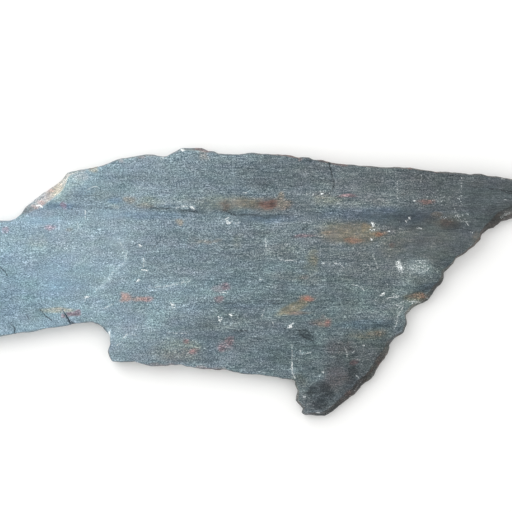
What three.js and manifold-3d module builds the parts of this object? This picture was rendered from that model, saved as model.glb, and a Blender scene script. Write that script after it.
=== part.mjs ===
// A slate flagstone: one natural slab, split along its cleavage and broken all the way round.
// It lies flat. +X runs along the grain of the stone, +Y across it and +Z up, in millimetres.
import * as THREE from "three";
import Module from "manifold-3d";

const wasm = await Module();
wasm.setup();

// Driving dimensions of the slab.
const THICKNESS = 28; // from the bed to the main cleavage face
const LEDGE_RISE = 2.2; // the upper lamina stands this far above the main face
const TIP_FALL = 7; // the lower point is this much thinner than the rest
const BED_INSET = 14; // the bed starts this far in from the outline
const BED_WANDER = 7; // and its rim wanders by about this much
const RUGGEDNESS = 0.9; // how far the broken outline wanders from its drawn line

// How finely the surface is faceted.
const COLUMNS = 76; // cells along the grain
const ROWS = 32; // cells across the grain
const LEDGE_ROW = 23; // the row of vertices that follows the foot of the ledge
const LEDGE_FADE = 8; // columns at either end over which the rows leave the ledge

// The outline seen from above, as [x, y, run]: run is how far the break slopes outwards there,
// from the edge of the upper face to the widest line of the slab.
const LOWER_EDGE = [
  [-440, -79, 4], [-424, -88, 4], [-397, -90, 3], [-373, -87, 3], [-346, -81, 2], [-304, -75, 2],
  [-289, -72, 2], [-262, -68, 2], [-248, -65, 2], [-235, -63, 2], [-220, -62, 2], [-211, -65, 2],
  [-203, -71, 3], [-198, -76, 3], [-194, -84, 3], [-193, -95, 3], [-196, -107, 3], [-194, -113, 3],
  [-189, -121, 3], [-177, -122, 2], [-157, -122, 2], [-144, -125, 2], [-131, -128, 2],
  [-115, -128, 2], [-99, -126, 2], [-86, -126, 2], [-66, -130, 2], [-49, -132, 2], [-20, -133, 2],
  [-10, -136, 2], [3, -139, 2], [16, -140, 2], [42, -142, 2], [55, -145, 2], [80, -148, 2],
  [85, -151, 2], [85, -157, 3], [89, -166, 3], [88, -180, 3], [93, -187, 4], [97, -193, 4],
  [95, -198, 4], [101, -202, 5], [123, -202, 6], [129, -203, 8],
];
const RIGHT_EDGE = [
  [129, -203, 8], [140, -198, 9], [150, -190, 10], [160, -182, 11], [173, -171, 12], [184, -159, 13],
  [198, -149, 13], [204, -139, 13], [211, -127, 12], [220, -112, 11], [227, -102, 10], [227, -97, 9],
  [236, -85, 6], [249, -76, 5], [253, -65, 5], [252, -52, 5], [258, -44, 6], [270, -36, 8],
  [283, -32, 9], [289, -25, 9], [297, -12, 8], [303, -6, 8], [306, 1, 8], [309, 12, 7], [318, 22, 4],
  [328, 34, 4], [342, 43, 4], [353, 53, 4], [358, 58, 5], [363, 62, 6], [363, 67, 6], [371, 75, 8],
  [377, 79, 10], [383, 80, 13], [393, 87, 17], [404, 92, 20], [413, 95, 20], [421, 103, 18],
  [431, 115, 15], [442, 120, 12], [449, 126, 9], [452, 134, 7],
];
const UPPER_EDGE = [
  [-433, 77, 4], [-409, 87, 4], [-376, 89, 4], [-349, 90, 4], [-335, 92, 4], [-327, 99, 8],
  [-319, 111, 14], [-306, 122, 18], [-293, 131, 19], [-277, 141, 17], [-265, 151, 13],
  [-258, 161, 9], [-250, 163, 6], [-228, 167, 4], [-212, 170, 3], [-202, 173, 3], [-185, 180, 3],
  [-177, 182, 3], [-158, 185, 3], [-139, 188, 3], [-118, 187, 3], [-108, 187, 3], [-104, 190, 3],
  [-92, 195, 4], [-87, 198, 5], [-56, 198, 5], [-50, 196, 4], [-46, 193, 3], [-38, 193, 3],
  [-30, 190, 3], [-10, 189, 3], [8, 190, 3], [20, 191, 3], [32, 190, 3], [68, 188, 3], [77, 188, 3],
  [89, 185, 3], [106, 185, 4], [112, 182, 3], [125, 180, 3], [146, 176, 3], [182, 172, 3],
  [212, 170, 3], [239, 170, 3], [254, 168, 3], [290, 164, 3], [311, 162, 3], [347, 159, 3],
  [365, 159, 3], [374, 157, 3], [392, 156, 3], [410, 152, 3], [428, 149, 4], [443, 143, 5],
  [452, 134, 7],
];
const LEFT_EDGE = [
  [-440, -79, 4], [-448, -63, 5], [-443, -42, 6], [-452, -24, 5], [-449, -4, 5], [-439, 12, 6],
  [-443, 33, 6], [-433, 50, 5], [-437, 63, 4], [-433, 77, 4],
];

// The foot of the ledge that crosses the face, west to east, and how broad its slope is there.
const LEDGE_LINE = [
  [-305, 110, 2], [-268, 112, 2], [-238, 109, 2], [-193, 107, 2], [-125, 107, 2.5], [-91, 108, 2.5],
  [-65, 106, 3], [-45, 103, 3], [-13, 101, 4], [12, 96, 4], [35, 95, 5], [60, 98, 6], [92, 102, 7],
  [137, 104, 9], [212, 109, 11], [302, 106, 11], [347, 97, 9], [380, 83, 7],
];

// Scars where flakes came off the face: centre, half sizes, depth and how far each is turned.
const SCARS = [
  { x: -300, y: 28, along: 134, across: 62, depth: 1.6, turn: 0 }, // broad, at the west end
  { x: 230, y: 88, along: 120, across: 13, depth: 2.2, turn: 0.02 }, // under the ledge
  { x: 190, y: -66, along: 95, across: 13, depth: 1.6, turn: 0.05 }, // long and shallow
  { x: 101, y: -82, along: 16, across: 9, depth: 2.2, turn: -0.5 }, // a dent
  { x: 124, y: -170, along: 22, across: 15, depth: 2.6, turn: 0.2 }, // near the point
  { x: 171, y: -136, along: 19, across: 8, depth: 2.2, turn: -1.1 }, // beside it
  { x: 268, y: -26, along: 30, across: 13, depth: 6, turn: 0.4 }, // a chip in the east edge
  { x: 243, y: -62, along: 14, across: 24, depth: 4, turn: -0.3 }, // a chip beside it
  { x: -196, y: -82, along: 14, across: 20, depth: 4, turn: 0 }, // a chip in the notch
];

// Open cracks, from where each starts at the edge to where it dies out.
const CRACKS = [
  { path: [[133, 186], [137, 170], [140, 155], [143, 143], [139, 134], [127, 128]], width: 2.2, depth: 8 },
  { path: [[-247, -68], [-253, -61], [-257, -53], [-264, -42]], width: 4.5, depth: 12 },
  { path: [[-335, -84], [-334, -72], [-341, -63]], width: 2.4, depth: 6 },
  { path: [[462, 130], [430, 128], [405, 131], [380, 137]], width: 2, depth: 7 },
];

// The strata that show in the break, from the upper face down. The face of each lies between
// two shares of the height there and two shares of the run, and wanders in and out by rough.
const STRATA = [
  { top: 1, bottom: 0.87, inner: 1, outer: 0.78, rough: 0 },
  { top: 0.83, bottom: 0.64, inner: 0.6, outer: 0.4, rough: 1.1 },
  { top: 0.6, bottom: 0.36, inner: 0.2, outer: 0, rough: 1.2 },
];
const FOOT_HEIGHT = 4.5; // the lower edge of the break stands this far above the bed
const FOOT_INSET = 3;

const smooth = (t) => THREE.MathUtils.smoothstep(t, 0, 1);

// A long low swell, drawn out along the grain.
function swell(x, y) {
  const long = 0.55 * Math.sin(x / 83 + y / 47 + 0.6);
  const middle = 0.35 * Math.sin(x / 41 - y / 23 + 2.1);
  const short = 0.22 * Math.sin(x / 23 + y / 11 + 4.0);
  return long + middle + short;
}

// How far a broken line wanders at a point of the slab. Each stratum has its own phase.
function wander(x, y, phase) {
  const bend = 1.9 * Math.sin(x / 37 - y / 29 + 2.3 * phase);
  const coarse = Math.sin(x / 11.3 + y / 8.1 + phase + bend);
  const fine = 0.7 * Math.sin(x / 5.3 - y / 4.7 + 1.7 * phase - bend);
  return 0.6 * (coarse + fine);
}

// Straight interpolation of [x, y, value] along x, as [y, value].
function along(line, x) {
  const last = line.length - 2;
  let i = 0;
  while (i < last && line[i + 1][0] < x) i += 1;
  const [from, to] = [line[i], line[i + 1]];
  const t = THREE.MathUtils.clamp((x - from[0]) / (to[0] - from[0]), 0, 1);
  return [from[1] + t * (to[1] - from[1]), from[2] + t * (to[2] - from[2])];
}

// The ledge: the lamina north of its line stands proud, and fades out towards the east point.
function ledge(x, y) {
  const [foot, breadth] = along(LEDGE_LINE, x);
  const rise = LEDGE_RISE * (1 - 0.7 * smooth((x - 300) / 120));
  return rise * smooth((y - foot) / breadth);
}

// The lower point: a flake with a raised west edge, whose face falls away to the point.
function point(x, y) {
  const ridge = 84 + 0.1 * (-90 - y);
  const south = smooth((-80 - y) / 30);
  const flake = 1.6 * smooth((x - ridge) / 4) - 0.02 * Math.max(0, x - ridge);
  const fall = TIP_FALL * smooth((-110 - y) / 110);
  return south * flake - fall;
}

// The depth of a scar, a shallow bowl that is steepest at its rim.
function scarDepth(scar, x, y) {
  const [dx, dy] = [x - scar.x, y - scar.y];
  const u = (dx * Math.cos(scar.turn) + dy * Math.sin(scar.turn)) / scar.along;
  const v = (dy * Math.cos(scar.turn) - dx * Math.sin(scar.turn)) / scar.across;
  const inside = 1 - Math.hypot(u, v);
  return inside > 0 ? scar.depth * smooth(Math.min(1, 2.2 * inside)) : 0;
}

// The height of the upper face over the bed.
function faceHeight(x, y) {
  const scars = SCARS.reduce((sum, scar) => sum + scarDepth(scar, x, y), 0);
  return THICKNESS + swell(x, y) + ledge(x, y) + point(x, y) - scars;
}

// A drawn edge cut into equal steps, as points with their run.
function divide(edge, steps) {
  const lengths = [0];
  for (let i = 1; i < edge.length; i += 1) {
    const [a, b] = [edge[i - 1], edge[i]];
    lengths.push(lengths[i - 1] + Math.hypot(b[0] - a[0], b[1] - a[1]));
  }
  const total = lengths[lengths.length - 1];
  const points = [];
  let i = 0;
  for (let k = 0; k <= steps; k += 1) {
    const at = (total * k) / steps;
    while (i < edge.length - 2 && lengths[i + 1] < at) i += 1;
    const t = (at - lengths[i]) / (lengths[i + 1] - lengths[i]);
    points.push(edge[i].map((value, axis) => value + t * (edge[i + 1][axis] - value)));
  }
  return points;
}

// The whole outline, anticlockwise from the south-west corner, without repeating a corner.
function outline() {
  const south = divide(LOWER_EDGE, COLUMNS).slice(0, -1);
  const east = divide(RIGHT_EDGE, ROWS).slice(0, -1);
  const north = divide(UPPER_EDGE, COLUMNS).reverse().slice(0, -1);
  const west = divide(LEFT_EDGE, ROWS).reverse().slice(0, -1);
  return [...south, ...east, ...north, ...west];
}

// Directions into the slab at each point of a loop, averaged over a few neighbours each side.
function inwardDirections(loop, reach) {
  const count = loop.length;
  const wrap = (i) => (i + count) % count;
  const normals = loop.map((_, i) => {
    const [before, after] = [loop[wrap(i - 1)], loop[wrap(i + 1)]];
    return new THREE.Vector2(before[1] - after[1], after[0] - before[0]).normalize();
  });
  return loop.map((_, i) => {
    const mean = new THREE.Vector2();
    for (let k = -reach; k <= reach; k += 1) mean.add(normals[wrap(i + k)]);
    return mean.normalize();
  });
}

// One ring of the break: the outline moved in by an inset that may differ from point to point.
function ring(loop, inward, inset) {
  return loop.map((p, i) => {
    const by = inset(p);
    return [p[0] + inward[i].x * by, p[1] + inward[i].y * by];
  });
}

// The place of a grid vertex on the upper face: a cross line from the south to the north edge,
// bent to follow the broken ends near each end.
function facePoint(sides, column, t) {
  const { south, north, west, east } = sides;
  const s = column / COLUMNS;
  const row = t * ROWS;
  const low = Math.min(ROWS - 1, Math.floor(row));
  const end = (side) => {
    const part = row - low;
    return [0, 1].map((axis) => {
      const onSide = side[low][axis] + part * (side[low + 1][axis] - side[low][axis]);
      const straight = side[0][axis] + t * (side[ROWS][axis] - side[0][axis]);
      return onSide - straight;
    });
  };
  const [bendWest, bendEast] = [end(west), end(east)];
  const [nearWest, nearEast] = [(1 - s) ** 8, s ** 8];
  return [0, 1].map((axis) => {
    const line = south[column][axis] + t * (north[column][axis] - south[column][axis]);
    return line + nearWest * bendWest[axis] + nearEast * bendEast[axis];
  });
}

// The share of a cross line at which it meets the foot of the ledge, or nearly its end if the
// ledge doesn't reach that far.
function ledgeShare(sides, column) {
  let [low, high] = [0.45, 0.93];
  for (let k = 0; k < 20; k += 1) {
    const middle = (low + high) / 2;
    const [x, y] = facePoint(sides, column, middle);
    if (y < along(LEDGE_LINE, x)[0]) low = middle;
    else high = middle;
  }
  return (low + high) / 2;
}

// Where each row of a column lies along its cross line. Two rows hold the face of the ledge, and
// all of them are evenly spread at the two broken ends.
function rowShares(sides, column) {
  const [south, north] = [sides.south[column], sides.north[column]];
  const width = Math.hypot(north[0] - south[0], north[1] - south[1]);
  const breadth = along(LEDGE_LINE, south[0])[1] / width;
  const follow = smooth(Math.min(column, COLUMNS - column) / LEDGE_FADE);
  const even = LEDGE_ROW / ROWS;
  const foot = even + follow * (ledgeShare(sides, column) - even);
  const face = 1 / ROWS + follow * (breadth - 1 / ROWS);
  const crest = Math.min(foot + face, foot + 0.5 * (1 - foot));
  return Array.from({ length: ROWS + 1 }, (_, row) => {
    if (row <= LEDGE_ROW) return (foot * row) / LEDGE_ROW;
    return crest + ((row - LEDGE_ROW - 1) / (ROWS - LEDGE_ROW - 1)) * (1 - crest);
  });
}

// A growing triangle mesh.
class Surface {
  constructor() {
    this.points = [];
    this.faces = [];
  }

  add(x, y, z) {
    this.points.push(x, y, z);
    return this.points.length / 3 - 1;
  }

  // A four-sided cell, its corners anticlockwise seen from outside.
  cell(a, b, c, d) {
    this.faces.push(a, b, c, a, c, d);
  }

  // A band between two closed rings of vertices, the first one above the second.
  band(upper, lower) {
    upper.forEach((_, i) => {
      const next = (i + 1) % upper.length;
      this.cell(upper[i], lower[i], lower[next], upper[next]);
    });
  }

  toManifold() {
    const mesh = new wasm.Mesh({
      numProp: 3,
      vertProperties: new Float32Array(this.points),
      triVerts: new Uint32Array(this.faces),
    });
    return new wasm.Manifold(mesh);
  }
}

// The upper face as a grid inside its edge ring. Returns the ring's vertices in outline order.
function addUpperFace(surface, edge) {
  const eastEnd = COLUMNS + ROWS;
  const northEnd = 2 * COLUMNS + ROWS;
  const sides = {
    south: edge.slice(0, COLUMNS + 1),
    east: edge.slice(COLUMNS, eastEnd + 1),
    north: edge.slice(eastEnd, northEnd + 1).reverse(),
    west: [...edge.slice(northEnd), edge[0]].reverse(),
  };
  const grid = [];
  for (let column = 0; column <= COLUMNS; column += 1) {
    grid.push(
      rowShares(sides, column).map((share) => {
        const [x, y] = facePoint(sides, column, share);
        return surface.add(x, y, faceHeight(x, y));
      }),
    );
  }
  for (let column = 0; column < COLUMNS; column += 1) {
    const [here, next] = [grid[column], grid[column + 1]];
    for (let row = 0; row < ROWS; row += 1)
      surface.cell(here[row], next[row], next[row + 1], here[row + 1]);
  }
  return [
    ...grid.slice(0, -1).map((column) => column[0]),
    ...grid[COLUMNS].slice(0, -1),
    ...grid.slice(1).reverse().map((column) => column[ROWS]),
    ...grid[0].slice(1).reverse(),
  ];
}

// The broken edge, stratum by stratum, down to the rim of the bed. Returns the bed's rim.
function addBreak(surface, loop, inward, topRing, edge) {
  let above = topRing;
  const addRing = (places, height) => {
    const made = places.map(([x, y], i) => surface.add(x, y, height(edge[i], x, y)));
    surface.band(above, made);
    above = made;
  };
  STRATA.forEach(({ top, bottom, inner, outer, rough }, k) => {
    const stratum = (share) =>
      ring(loop, inward, ([x, y, run]) => run * share + rough * wander(x, y, 2 * k + 1));
    if (k > 0) addRing(stratum(inner), ([x, y]) => top * faceHeight(x, y));
    addRing(stratum(outer), ([x, y]) => bottom * faceHeight(x, y));
  });
  const foot = ring(loop, inward, ([x, y]) => FOOT_INSET + wander(x, y, 9));
  addRing(foot, (_, x, y) => FOOT_HEIGHT + 1.5 * wander(x / 3, y / 3, 4));
  const bed = ring(loop, inward, ([x, y]) => BED_INSET + BED_WANDER * wander(x / 6, y / 6, 5));
  addRing(bed, () => 0);
  return { rim: above, places: bed };
}

// The flat bed that the slab lies on.
function addBed(surface, { rim, places }) {
  const contour = places.map(([x, y]) => new THREE.Vector2(x, y));
  THREE.ShapeUtils.triangulateShape(contour, []).forEach(([a, b, c]) => {
    surface.faces.push(rim[a], rim[c], rim[b]);
  });
}

// A wedge along a path, wide at its open start and closed at its end, for cutting a crack.
function crackCutter({ path, width, depth }) {
  const surface = new Surface();
  const sections = path.map(([x, y], i) => {
    const [before, after] = [path[Math.max(0, i - 1)], path[Math.min(path.length - 1, i + 1)]];
    const across = new THREE.Vector2(before[1] - after[1], after[0] - before[0]).normalize();
    const share = 1 - (0.9 * i) / (path.length - 1);
    const top = faceHeight(x, y);
    // The cutter stands as far over the face as it goes under, so it is twice as wide up there.
    const [dx, dy] = [across.x * width * share, across.y * width * share];
    return [
      surface.add(x + dx, y + dy, top + depth * share),
      surface.add(x - dx, y - dy, top + depth * share),
      surface.add(x, y, top - depth * share),
    ];
  });
  for (let i = 1; i < sections.length; i += 1) {
    const [from, to] = [sections[i - 1], sections[i]];
    for (let k = 0; k < 3; k += 1) {
      const next = (k + 1) % 3;
      surface.cell(from[k], from[next], to[next], to[k]);
    }
  }
  const [first, last] = [sections[0], sections[sections.length - 1]];
  surface.faces.push(first[0], first[2], first[1], last[0], last[1], last[2]);
  return surface.toManifold();
}

// The solid slab: upper face, broken edge and bed, with its cracks cut.
function slab() {
  const drawn = outline();
  const inward = inwardDirections(drawn, 3);
  const loop = drawn.map(([x, y, run], i) => {
    const by = RUGGEDNESS * wander(x, y, 0);
    return [x + inward[i].x * by, y + inward[i].y * by, run];
  });
  const edge = ring(loop, inward, (p) => p[2]);
  const surface = new Surface();
  const topRing = addUpperFace(surface, edge);
  addBed(surface, addBreak(surface, loop, inward, topRing, edge));
  return CRACKS.reduce((stone, crack) => stone.subtract(crackCutter(crack)), surface.toManifold());
}

// A solid as geometry, moved so that the origin is under its middle, on the bed.
function toGeometry(solid) {
  const mesh = solid.getMesh();
  const geometry = new THREE.BufferGeometry();
  geometry.setAttribute("position", new THREE.BufferAttribute(mesh.vertProperties, 3));
  geometry.setIndex(new THREE.BufferAttribute(mesh.triVerts, 1));
  geometry.computeBoundingBox();
  const middle = geometry.boundingBox.getCenter(new THREE.Vector3());
  geometry.translate(-middle.x, -middle.y, -geometry.boundingBox.min.z);
  geometry.computeVertexNormals();
  return geometry;
}

const slate = new THREE.MeshStandardMaterial({ color: 0x76858c, roughness: 0.82, metalness: 0 });

const flagstone = new THREE.Mesh(toGeometry(slab()), slate);
flagstone.name = "flagstone";

const part = new THREE.Group();
part.add(flagstone);

export default part;
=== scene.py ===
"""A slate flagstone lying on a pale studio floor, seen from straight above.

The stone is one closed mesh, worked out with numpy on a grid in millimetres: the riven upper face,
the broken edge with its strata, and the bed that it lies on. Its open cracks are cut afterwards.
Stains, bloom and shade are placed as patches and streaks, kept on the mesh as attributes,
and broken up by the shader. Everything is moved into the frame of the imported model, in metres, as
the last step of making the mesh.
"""

import logging
from dataclasses import dataclass, field
from enum import Enum

import bpy
import numpy as np
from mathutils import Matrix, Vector


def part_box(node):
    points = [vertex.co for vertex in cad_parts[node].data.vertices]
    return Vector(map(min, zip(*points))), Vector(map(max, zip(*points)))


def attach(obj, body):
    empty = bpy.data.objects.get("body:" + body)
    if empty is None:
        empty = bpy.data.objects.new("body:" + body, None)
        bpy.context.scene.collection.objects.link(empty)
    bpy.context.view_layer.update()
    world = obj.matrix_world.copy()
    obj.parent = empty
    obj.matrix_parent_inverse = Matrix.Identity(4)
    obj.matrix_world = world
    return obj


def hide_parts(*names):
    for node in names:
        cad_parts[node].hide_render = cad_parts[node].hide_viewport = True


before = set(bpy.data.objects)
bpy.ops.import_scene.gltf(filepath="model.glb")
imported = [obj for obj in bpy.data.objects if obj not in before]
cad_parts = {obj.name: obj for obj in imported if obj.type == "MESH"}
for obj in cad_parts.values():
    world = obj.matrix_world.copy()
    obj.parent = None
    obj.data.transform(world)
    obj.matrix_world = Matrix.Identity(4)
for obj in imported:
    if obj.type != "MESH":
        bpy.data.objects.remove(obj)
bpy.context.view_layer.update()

LOG = logging.getLogger("flagstone")
NODE = "flagstone"
BODY = "root"
SLOT = "slate"
MM = 0.001
FACE_BAND = (0.42, 1.0)
UNDER_BAND = (0.0, 0.22)

Array = np.ndarray
Socket = bpy.types.NodeSocket
Node = bpy.types.Node
Colour = tuple[float, float, float, float]
Value = bpy.types.NodeSocket | float | tuple[float, ...]
Edge = tuple[tuple[float, float, float], ...]
Path = tuple[tuple[float, float], ...]


class Tint(Enum):
    """What colours the slate in places, paints light, shade and sky sheen on it, or calms its grain. The
    value names the mesh attribute.
    """

    RUST = "rust"
    ROSE = "rose"
    OCHRE = "ochre"
    OLIVE = "olive"
    BLOOM = "bloom"
    # painted shade and sky reflection, blue
    STEEL = "blue_shade_and_sheen"
    TEAL = "teal"
    UMBER = "umber_and_shade"
    BUFF = "buff_and_light"
    LIGHT = "light"
    SHADE = "shade"
    # painted deep shade, and dark blotches
    DUSK = "shade_and_blotch"
    CALM = "calm"
    CHALK = "chalk"


class Part(Enum):
    """The attributes that say where on the stone a point lies."""

    BREAK = "break"
    ARRIS = "arris"
    CRACK = "crack"


class Line(Enum):
    """The attributes that draw the strokes: how far aside of the nearest, how far off, and its tone."""

    SIDE = "side"
    REACH = "reach"
    TONE = "tone"


def ease(t: Array) -> Array:
    """Goes smoothly from 0 to 1 as t does: 3 t squared less 2 t cubed, held outside that range."""
    t = np.clip(t, 0.0, 1.0)
    return t * t * (3.0 - 2.0 * t)


def lattice_noise(u: Array, v: Array, seed: int) -> Array:
    """Gives smooth random values over a plane.

    Each whole-number point of the plane has a random value, and a place between four of them has
    their mean, weighted by how near it is along each axis after easing.

    Args:
        u: First coordinates, in lattice steps.
        v: Second coordinates, in lattice steps.
        seed: Which set of random values is used.

    Returns:
        Values from -1 to 1, shaped as u and v are.
    """
    side = 251
    table = np.random.default_rng(seed).random((side, side)) * 2.0 - 1.0
    i, j = np.floor(u).astype(int), np.floor(v).astype(int)
    s, t = ease(u - i), ease(v - j)
    corner = [[table[(i + a) % side, (j + b) % side] for b in (0, 1)] for a in (0, 1)]
    near, far = [row[0] + t * (row[1] - row[0]) for row in corner]
    return near + s * (far - near)


def fractal(x: Array, y: Array, length: float, width: float, seed: int, octaves: int = 3) -> Array:
    """Adds octaves of lattice noise, each half as large and half as strong as the one before.

    Args:
        x: Places along the grain.
        y: Places across the grain.
        length: Size of the largest features along the grain.
        width: Their size across the grain.
        seed: Which set of random values is used.
        octaves: How many sizes are added.

    Returns:
        Values from -1 to 1, shaped as x and y are.
    """
    total, weight = 0.0, 0.0
    for octave in range(octaves):
        finer, share = 2.0**octave, 0.5**octave
        shift = 17.3 * octave
        u, v = x / length * finer + shift, y / width * finer - shift
        total = total + share * lattice_noise(u, v, seed + octave)
        weight += share
    return total / weight


def run_along(drawn: Array) -> Array:
    """Gives how far along a drawn line each of its points lies, as seen from above."""
    return np.concatenate([[0.0], np.cumsum(np.hypot(*np.diff(drawn[:, :2], axis=0).T))])


def divide(drawn: Array, steps: int) -> Array:
    """Cuts a drawn line into equal steps of its length.

    Args:
        drawn: The line's points, one a row, as x, y and any other values.
        steps: How many steps.

    Returns:
        The points between the steps and at both ends, one a row.
    """
    length = run_along(drawn)
    at = np.linspace(0.0, length[-1], steps + 1)
    return np.stack([np.interp(at, length, values) for values in drawn.T], axis=1)


def new_object(name: str, data: bpy.types.ID) -> bpy.types.Object:
    """Makes an object that shows some data, and puts it in the scene."""
    made = bpy.data.objects.new(name, data)
    bpy.context.scene.collection.objects.link(made)
    return made


@dataclass(frozen=True)
class Scar:
    """A shallow bowl where a flake came off the face, in slab millimetres."""

    x: float
    y: float
    along: float
    across: float
    depth: float
    turn: float = 0.0

    def depth_at(self, x: Array, y: Array) -> Array:
        """Gives the scar's depth: none outside its ellipse, then steeply down to a flat floor."""
        dx, dy = x - self.x, y - self.y
        u = (dx * np.cos(self.turn) + dy * np.sin(self.turn)) / self.along
        v = (dy * np.cos(self.turn) - dx * np.sin(self.turn)) / self.across
        return self.depth * ease(2.2 * (1.0 - np.hypot(u, v)))


@dataclass(frozen=True)
class Crack:
    """An open crack, from its mouth at the edge to where it dies out, in slab millimetres."""

    path: Path
    width: float
    depth: float


@dataclass(frozen=True)
class Stratum:
    """A layer that shows in the break: its face lies between two shares of the height and the run."""

    top: float
    bottom: float
    inner: float
    outer: float
    rough: float


@dataclass(frozen=True)
class Jag:
    """Noise that breaks up the outline, in slab millimetres, higher by so much more in the east."""

    height: float
    more: float
    size: float
    seed: int
    octaves: int

    def inset(self, x: Array, y: Array, east: Array) -> Array:
        """Gives how far in the outline is moved, with east from 0 to 1 in the east."""
        noise = fractal(x, y, self.size, self.size, self.seed, self.octaves)
        return (self.height + self.more * east) * noise


@dataclass(frozen=True)
class SlabShape:
    """The form of the slab in its own millimetres: its outline, its heights and how it wanders.

    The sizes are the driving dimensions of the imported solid, so the fine surface lies on it. Its
    outline takes only a share of the solid's coarse wandering, and has jags of its own instead.
    """

    thickness: float = 28.0
    ledge_rise: float = 2.2
    tip_fall: float = 7.0
    bed_inset: float = 14.0
    bed_wander: float = 7.0
    ruggedness: float = 0.9
    wander_share: float = 0.25
    jags: tuple[Jag, ...] = (Jag(1.2, 1.2, 15.0, 71, 4), Jag(0.4, 0.8, 6.0, 81, 2))
    jag_mean: float = 0.7
    foot_height: float = 4.5
    foot_inset: float = 3.0
    lower_edge: Edge = (
        (-440, -79, 4), (-424, -88, 4), (-397, -90, 3), (-373, -87, 3), (-346, -81, 2),
        (-304, -75, 2), (-289, -72, 2), (-262, -68, 2), (-248, -65, 2), (-235, -63, 2),
        (-220, -62, 2), (-211, -65, 2), (-203, -71, 3), (-198, -76, 3), (-194, -84, 3),
        (-193, -95, 3), (-196, -107, 3), (-194, -113, 3), (-189, -121, 3), (-177, -122, 2),
        (-157, -122, 2), (-144, -125, 2), (-131, -128, 2), (-115, -128, 2), (-99, -126, 2),
        (-86, -126, 2), (-66, -130, 2), (-49, -132, 2), (-20, -133, 2), (-10, -136, 2), (3, -139, 2),
        (16, -140, 2), (42, -142, 2), (55, -145, 2), (80, -148, 2), (85, -151, 2), (85, -157, 3),
        (89, -166, 3), (88, -180, 3), (93, -187, 4), (97, -193, 4), (95, -198, 4), (101, -202, 5),
        (123, -202, 6), (129, -203, 8),
    )
    right_edge: Edge = (
        (129, -203, 8), (140, -198, 9), (150, -190, 10), (160, -182, 11), (173, -171, 12),
        (184, -159, 13), (198, -149, 13), (204, -139, 13), (211, -127, 12), (220, -112, 11),
        (227, -102, 10), (227, -97, 9), (236, -85, 6), (249, -76, 5), (253, -65, 5), (252, -52, 5),
        (258, -44, 6), (270, -36, 8), (283, -32, 9), (289, -25, 9), (297, -12, 8), (303, -6, 8),
        (306, 1, 8), (309, 12, 7), (318, 22, 4), (328, 34, 4), (342, 43, 4), (353, 53, 4),
        (358, 58, 5), (363, 62, 6), (363, 67, 6), (371, 75, 8), (377, 79, 10), (383, 80, 13),
        (393, 87, 17), (404, 92, 20), (413, 95, 20), (421, 103, 18), (431, 115, 15), (442, 120, 12),
        (449, 126, 9), (452, 134, 7),
    )
    upper_edge: Edge = (
        (-433, 77, 4), (-409, 87, 4), (-376, 89, 4), (-349, 90, 4), (-335, 92, 4), (-327, 99, 8),
        (-319, 111, 14), (-306, 122, 18), (-293, 131, 19), (-277, 141, 17), (-265, 151, 13),
        (-258, 161, 9), (-250, 163, 6), (-228, 167, 4), (-212, 170, 3), (-202, 173, 3),
        (-185, 180, 3), (-177, 182, 3), (-158, 185, 3), (-139, 188, 3), (-118, 187, 3),
        (-108, 187, 3), (-104, 190, 3), (-92, 195, 4), (-87, 198, 5), (-56, 198, 5), (-50, 196, 4),
        (-46, 193, 3), (-38, 193, 3), (-30, 190, 3), (-10, 189, 3), (8, 190, 3), (20, 191, 3),
        (32, 190, 3), (68, 188, 3), (77, 188, 3), (89, 185, 3), (106, 185, 4), (112, 182, 3),
        (125, 180, 3), (146, 176, 3), (182, 172, 3), (212, 170, 3), (239, 170, 3), (254, 168, 3),
        (290, 164, 3), (311, 162, 3), (347, 159, 3), (365, 159, 3), (374, 157, 3), (392, 156, 3),
        (410, 152, 3), (428, 149, 4), (443, 143, 5), (452, 134, 7),
    )
    left_edge: Edge = (
        (-440, -79, 4), (-448, -63, 5), (-443, -42, 6), (-452, -24, 5), (-449, -4, 5), (-439, 12, 6),
        (-443, 33, 6), (-433, 50, 5), (-437, 63, 4), (-433, 77, 4),
    )
    ledge_line: Edge = (
        (-305, 110, 2), (-268, 112, 2), (-238, 109, 2), (-193, 107, 2), (-125, 107, 2.5),
        (-91, 108, 2.5), (-65, 106, 3), (-45, 103, 3), (-13, 101, 4), (12, 96, 4), (35, 95, 5),
        (60, 98, 6), (92, 102, 7), (137, 104, 9), (212, 109, 11), (302, 106, 11), (347, 97, 9),
        (380, 83, 7),
    )
    scars: tuple[Scar, ...] = (
        Scar(-300, 28, 134, 62, 1.6),
        Scar(230, 88, 120, 13, 2.2, 0.02),
        Scar(190, -66, 95, 13, 1.6, 0.05),
        Scar(101, -82, 16, 9, 2.2, -0.5),
        Scar(124, -170, 22, 15, 2.6, 0.2),
        Scar(171, -136, 19, 8, 2.2, -1.1),
        Scar(268, -26, 30, 13, 6.0, 0.4),
        Scar(243, -62, 14, 24, 4.0, -0.3),
        Scar(-196, -82, 14, 20, 4.0),
    )
    cracks: tuple[Crack, ...] = (
        Crack(((133, 186), (137, 170), (140, 155), (143, 143), (139, 134), (127, 128)), 2.2, 8.0),
        Crack(((-247, -68), (-253, -61), (-257, -53), (-264, -42)), 4.5, 12.0),
        Crack(((-335, -84), (-334, -72), (-341, -63)), 2.4, 6.0),
        Crack(((462, 130), (430, 128), (405, 131), (380, 137)), 2.0, 7.0),
    )
    strata: tuple[Stratum, ...] = (
        Stratum(1.0, 0.87, 1.0, 0.78, 0.0),
        Stratum(0.83, 0.64, 0.6, 0.4, 1.1),
        Stratum(0.6, 0.36, 0.2, 0.0, 1.2),
    )

    def wander(self, x: Array, y: Array, phase: float) -> Array:
        """Gives how far a broken line wanders: two bent sine waves, with a phase of its own."""
        bend = 1.9 * np.sin(x / 37 - y / 29 + 2.3 * phase)
        coarse = np.sin(x / 11.3 + y / 8.1 + phase + bend)
        fine = 0.7 * np.sin(x / 5.3 - y / 4.7 + 1.7 * phase - bend)
        return 0.6 * (coarse + fine)

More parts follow.
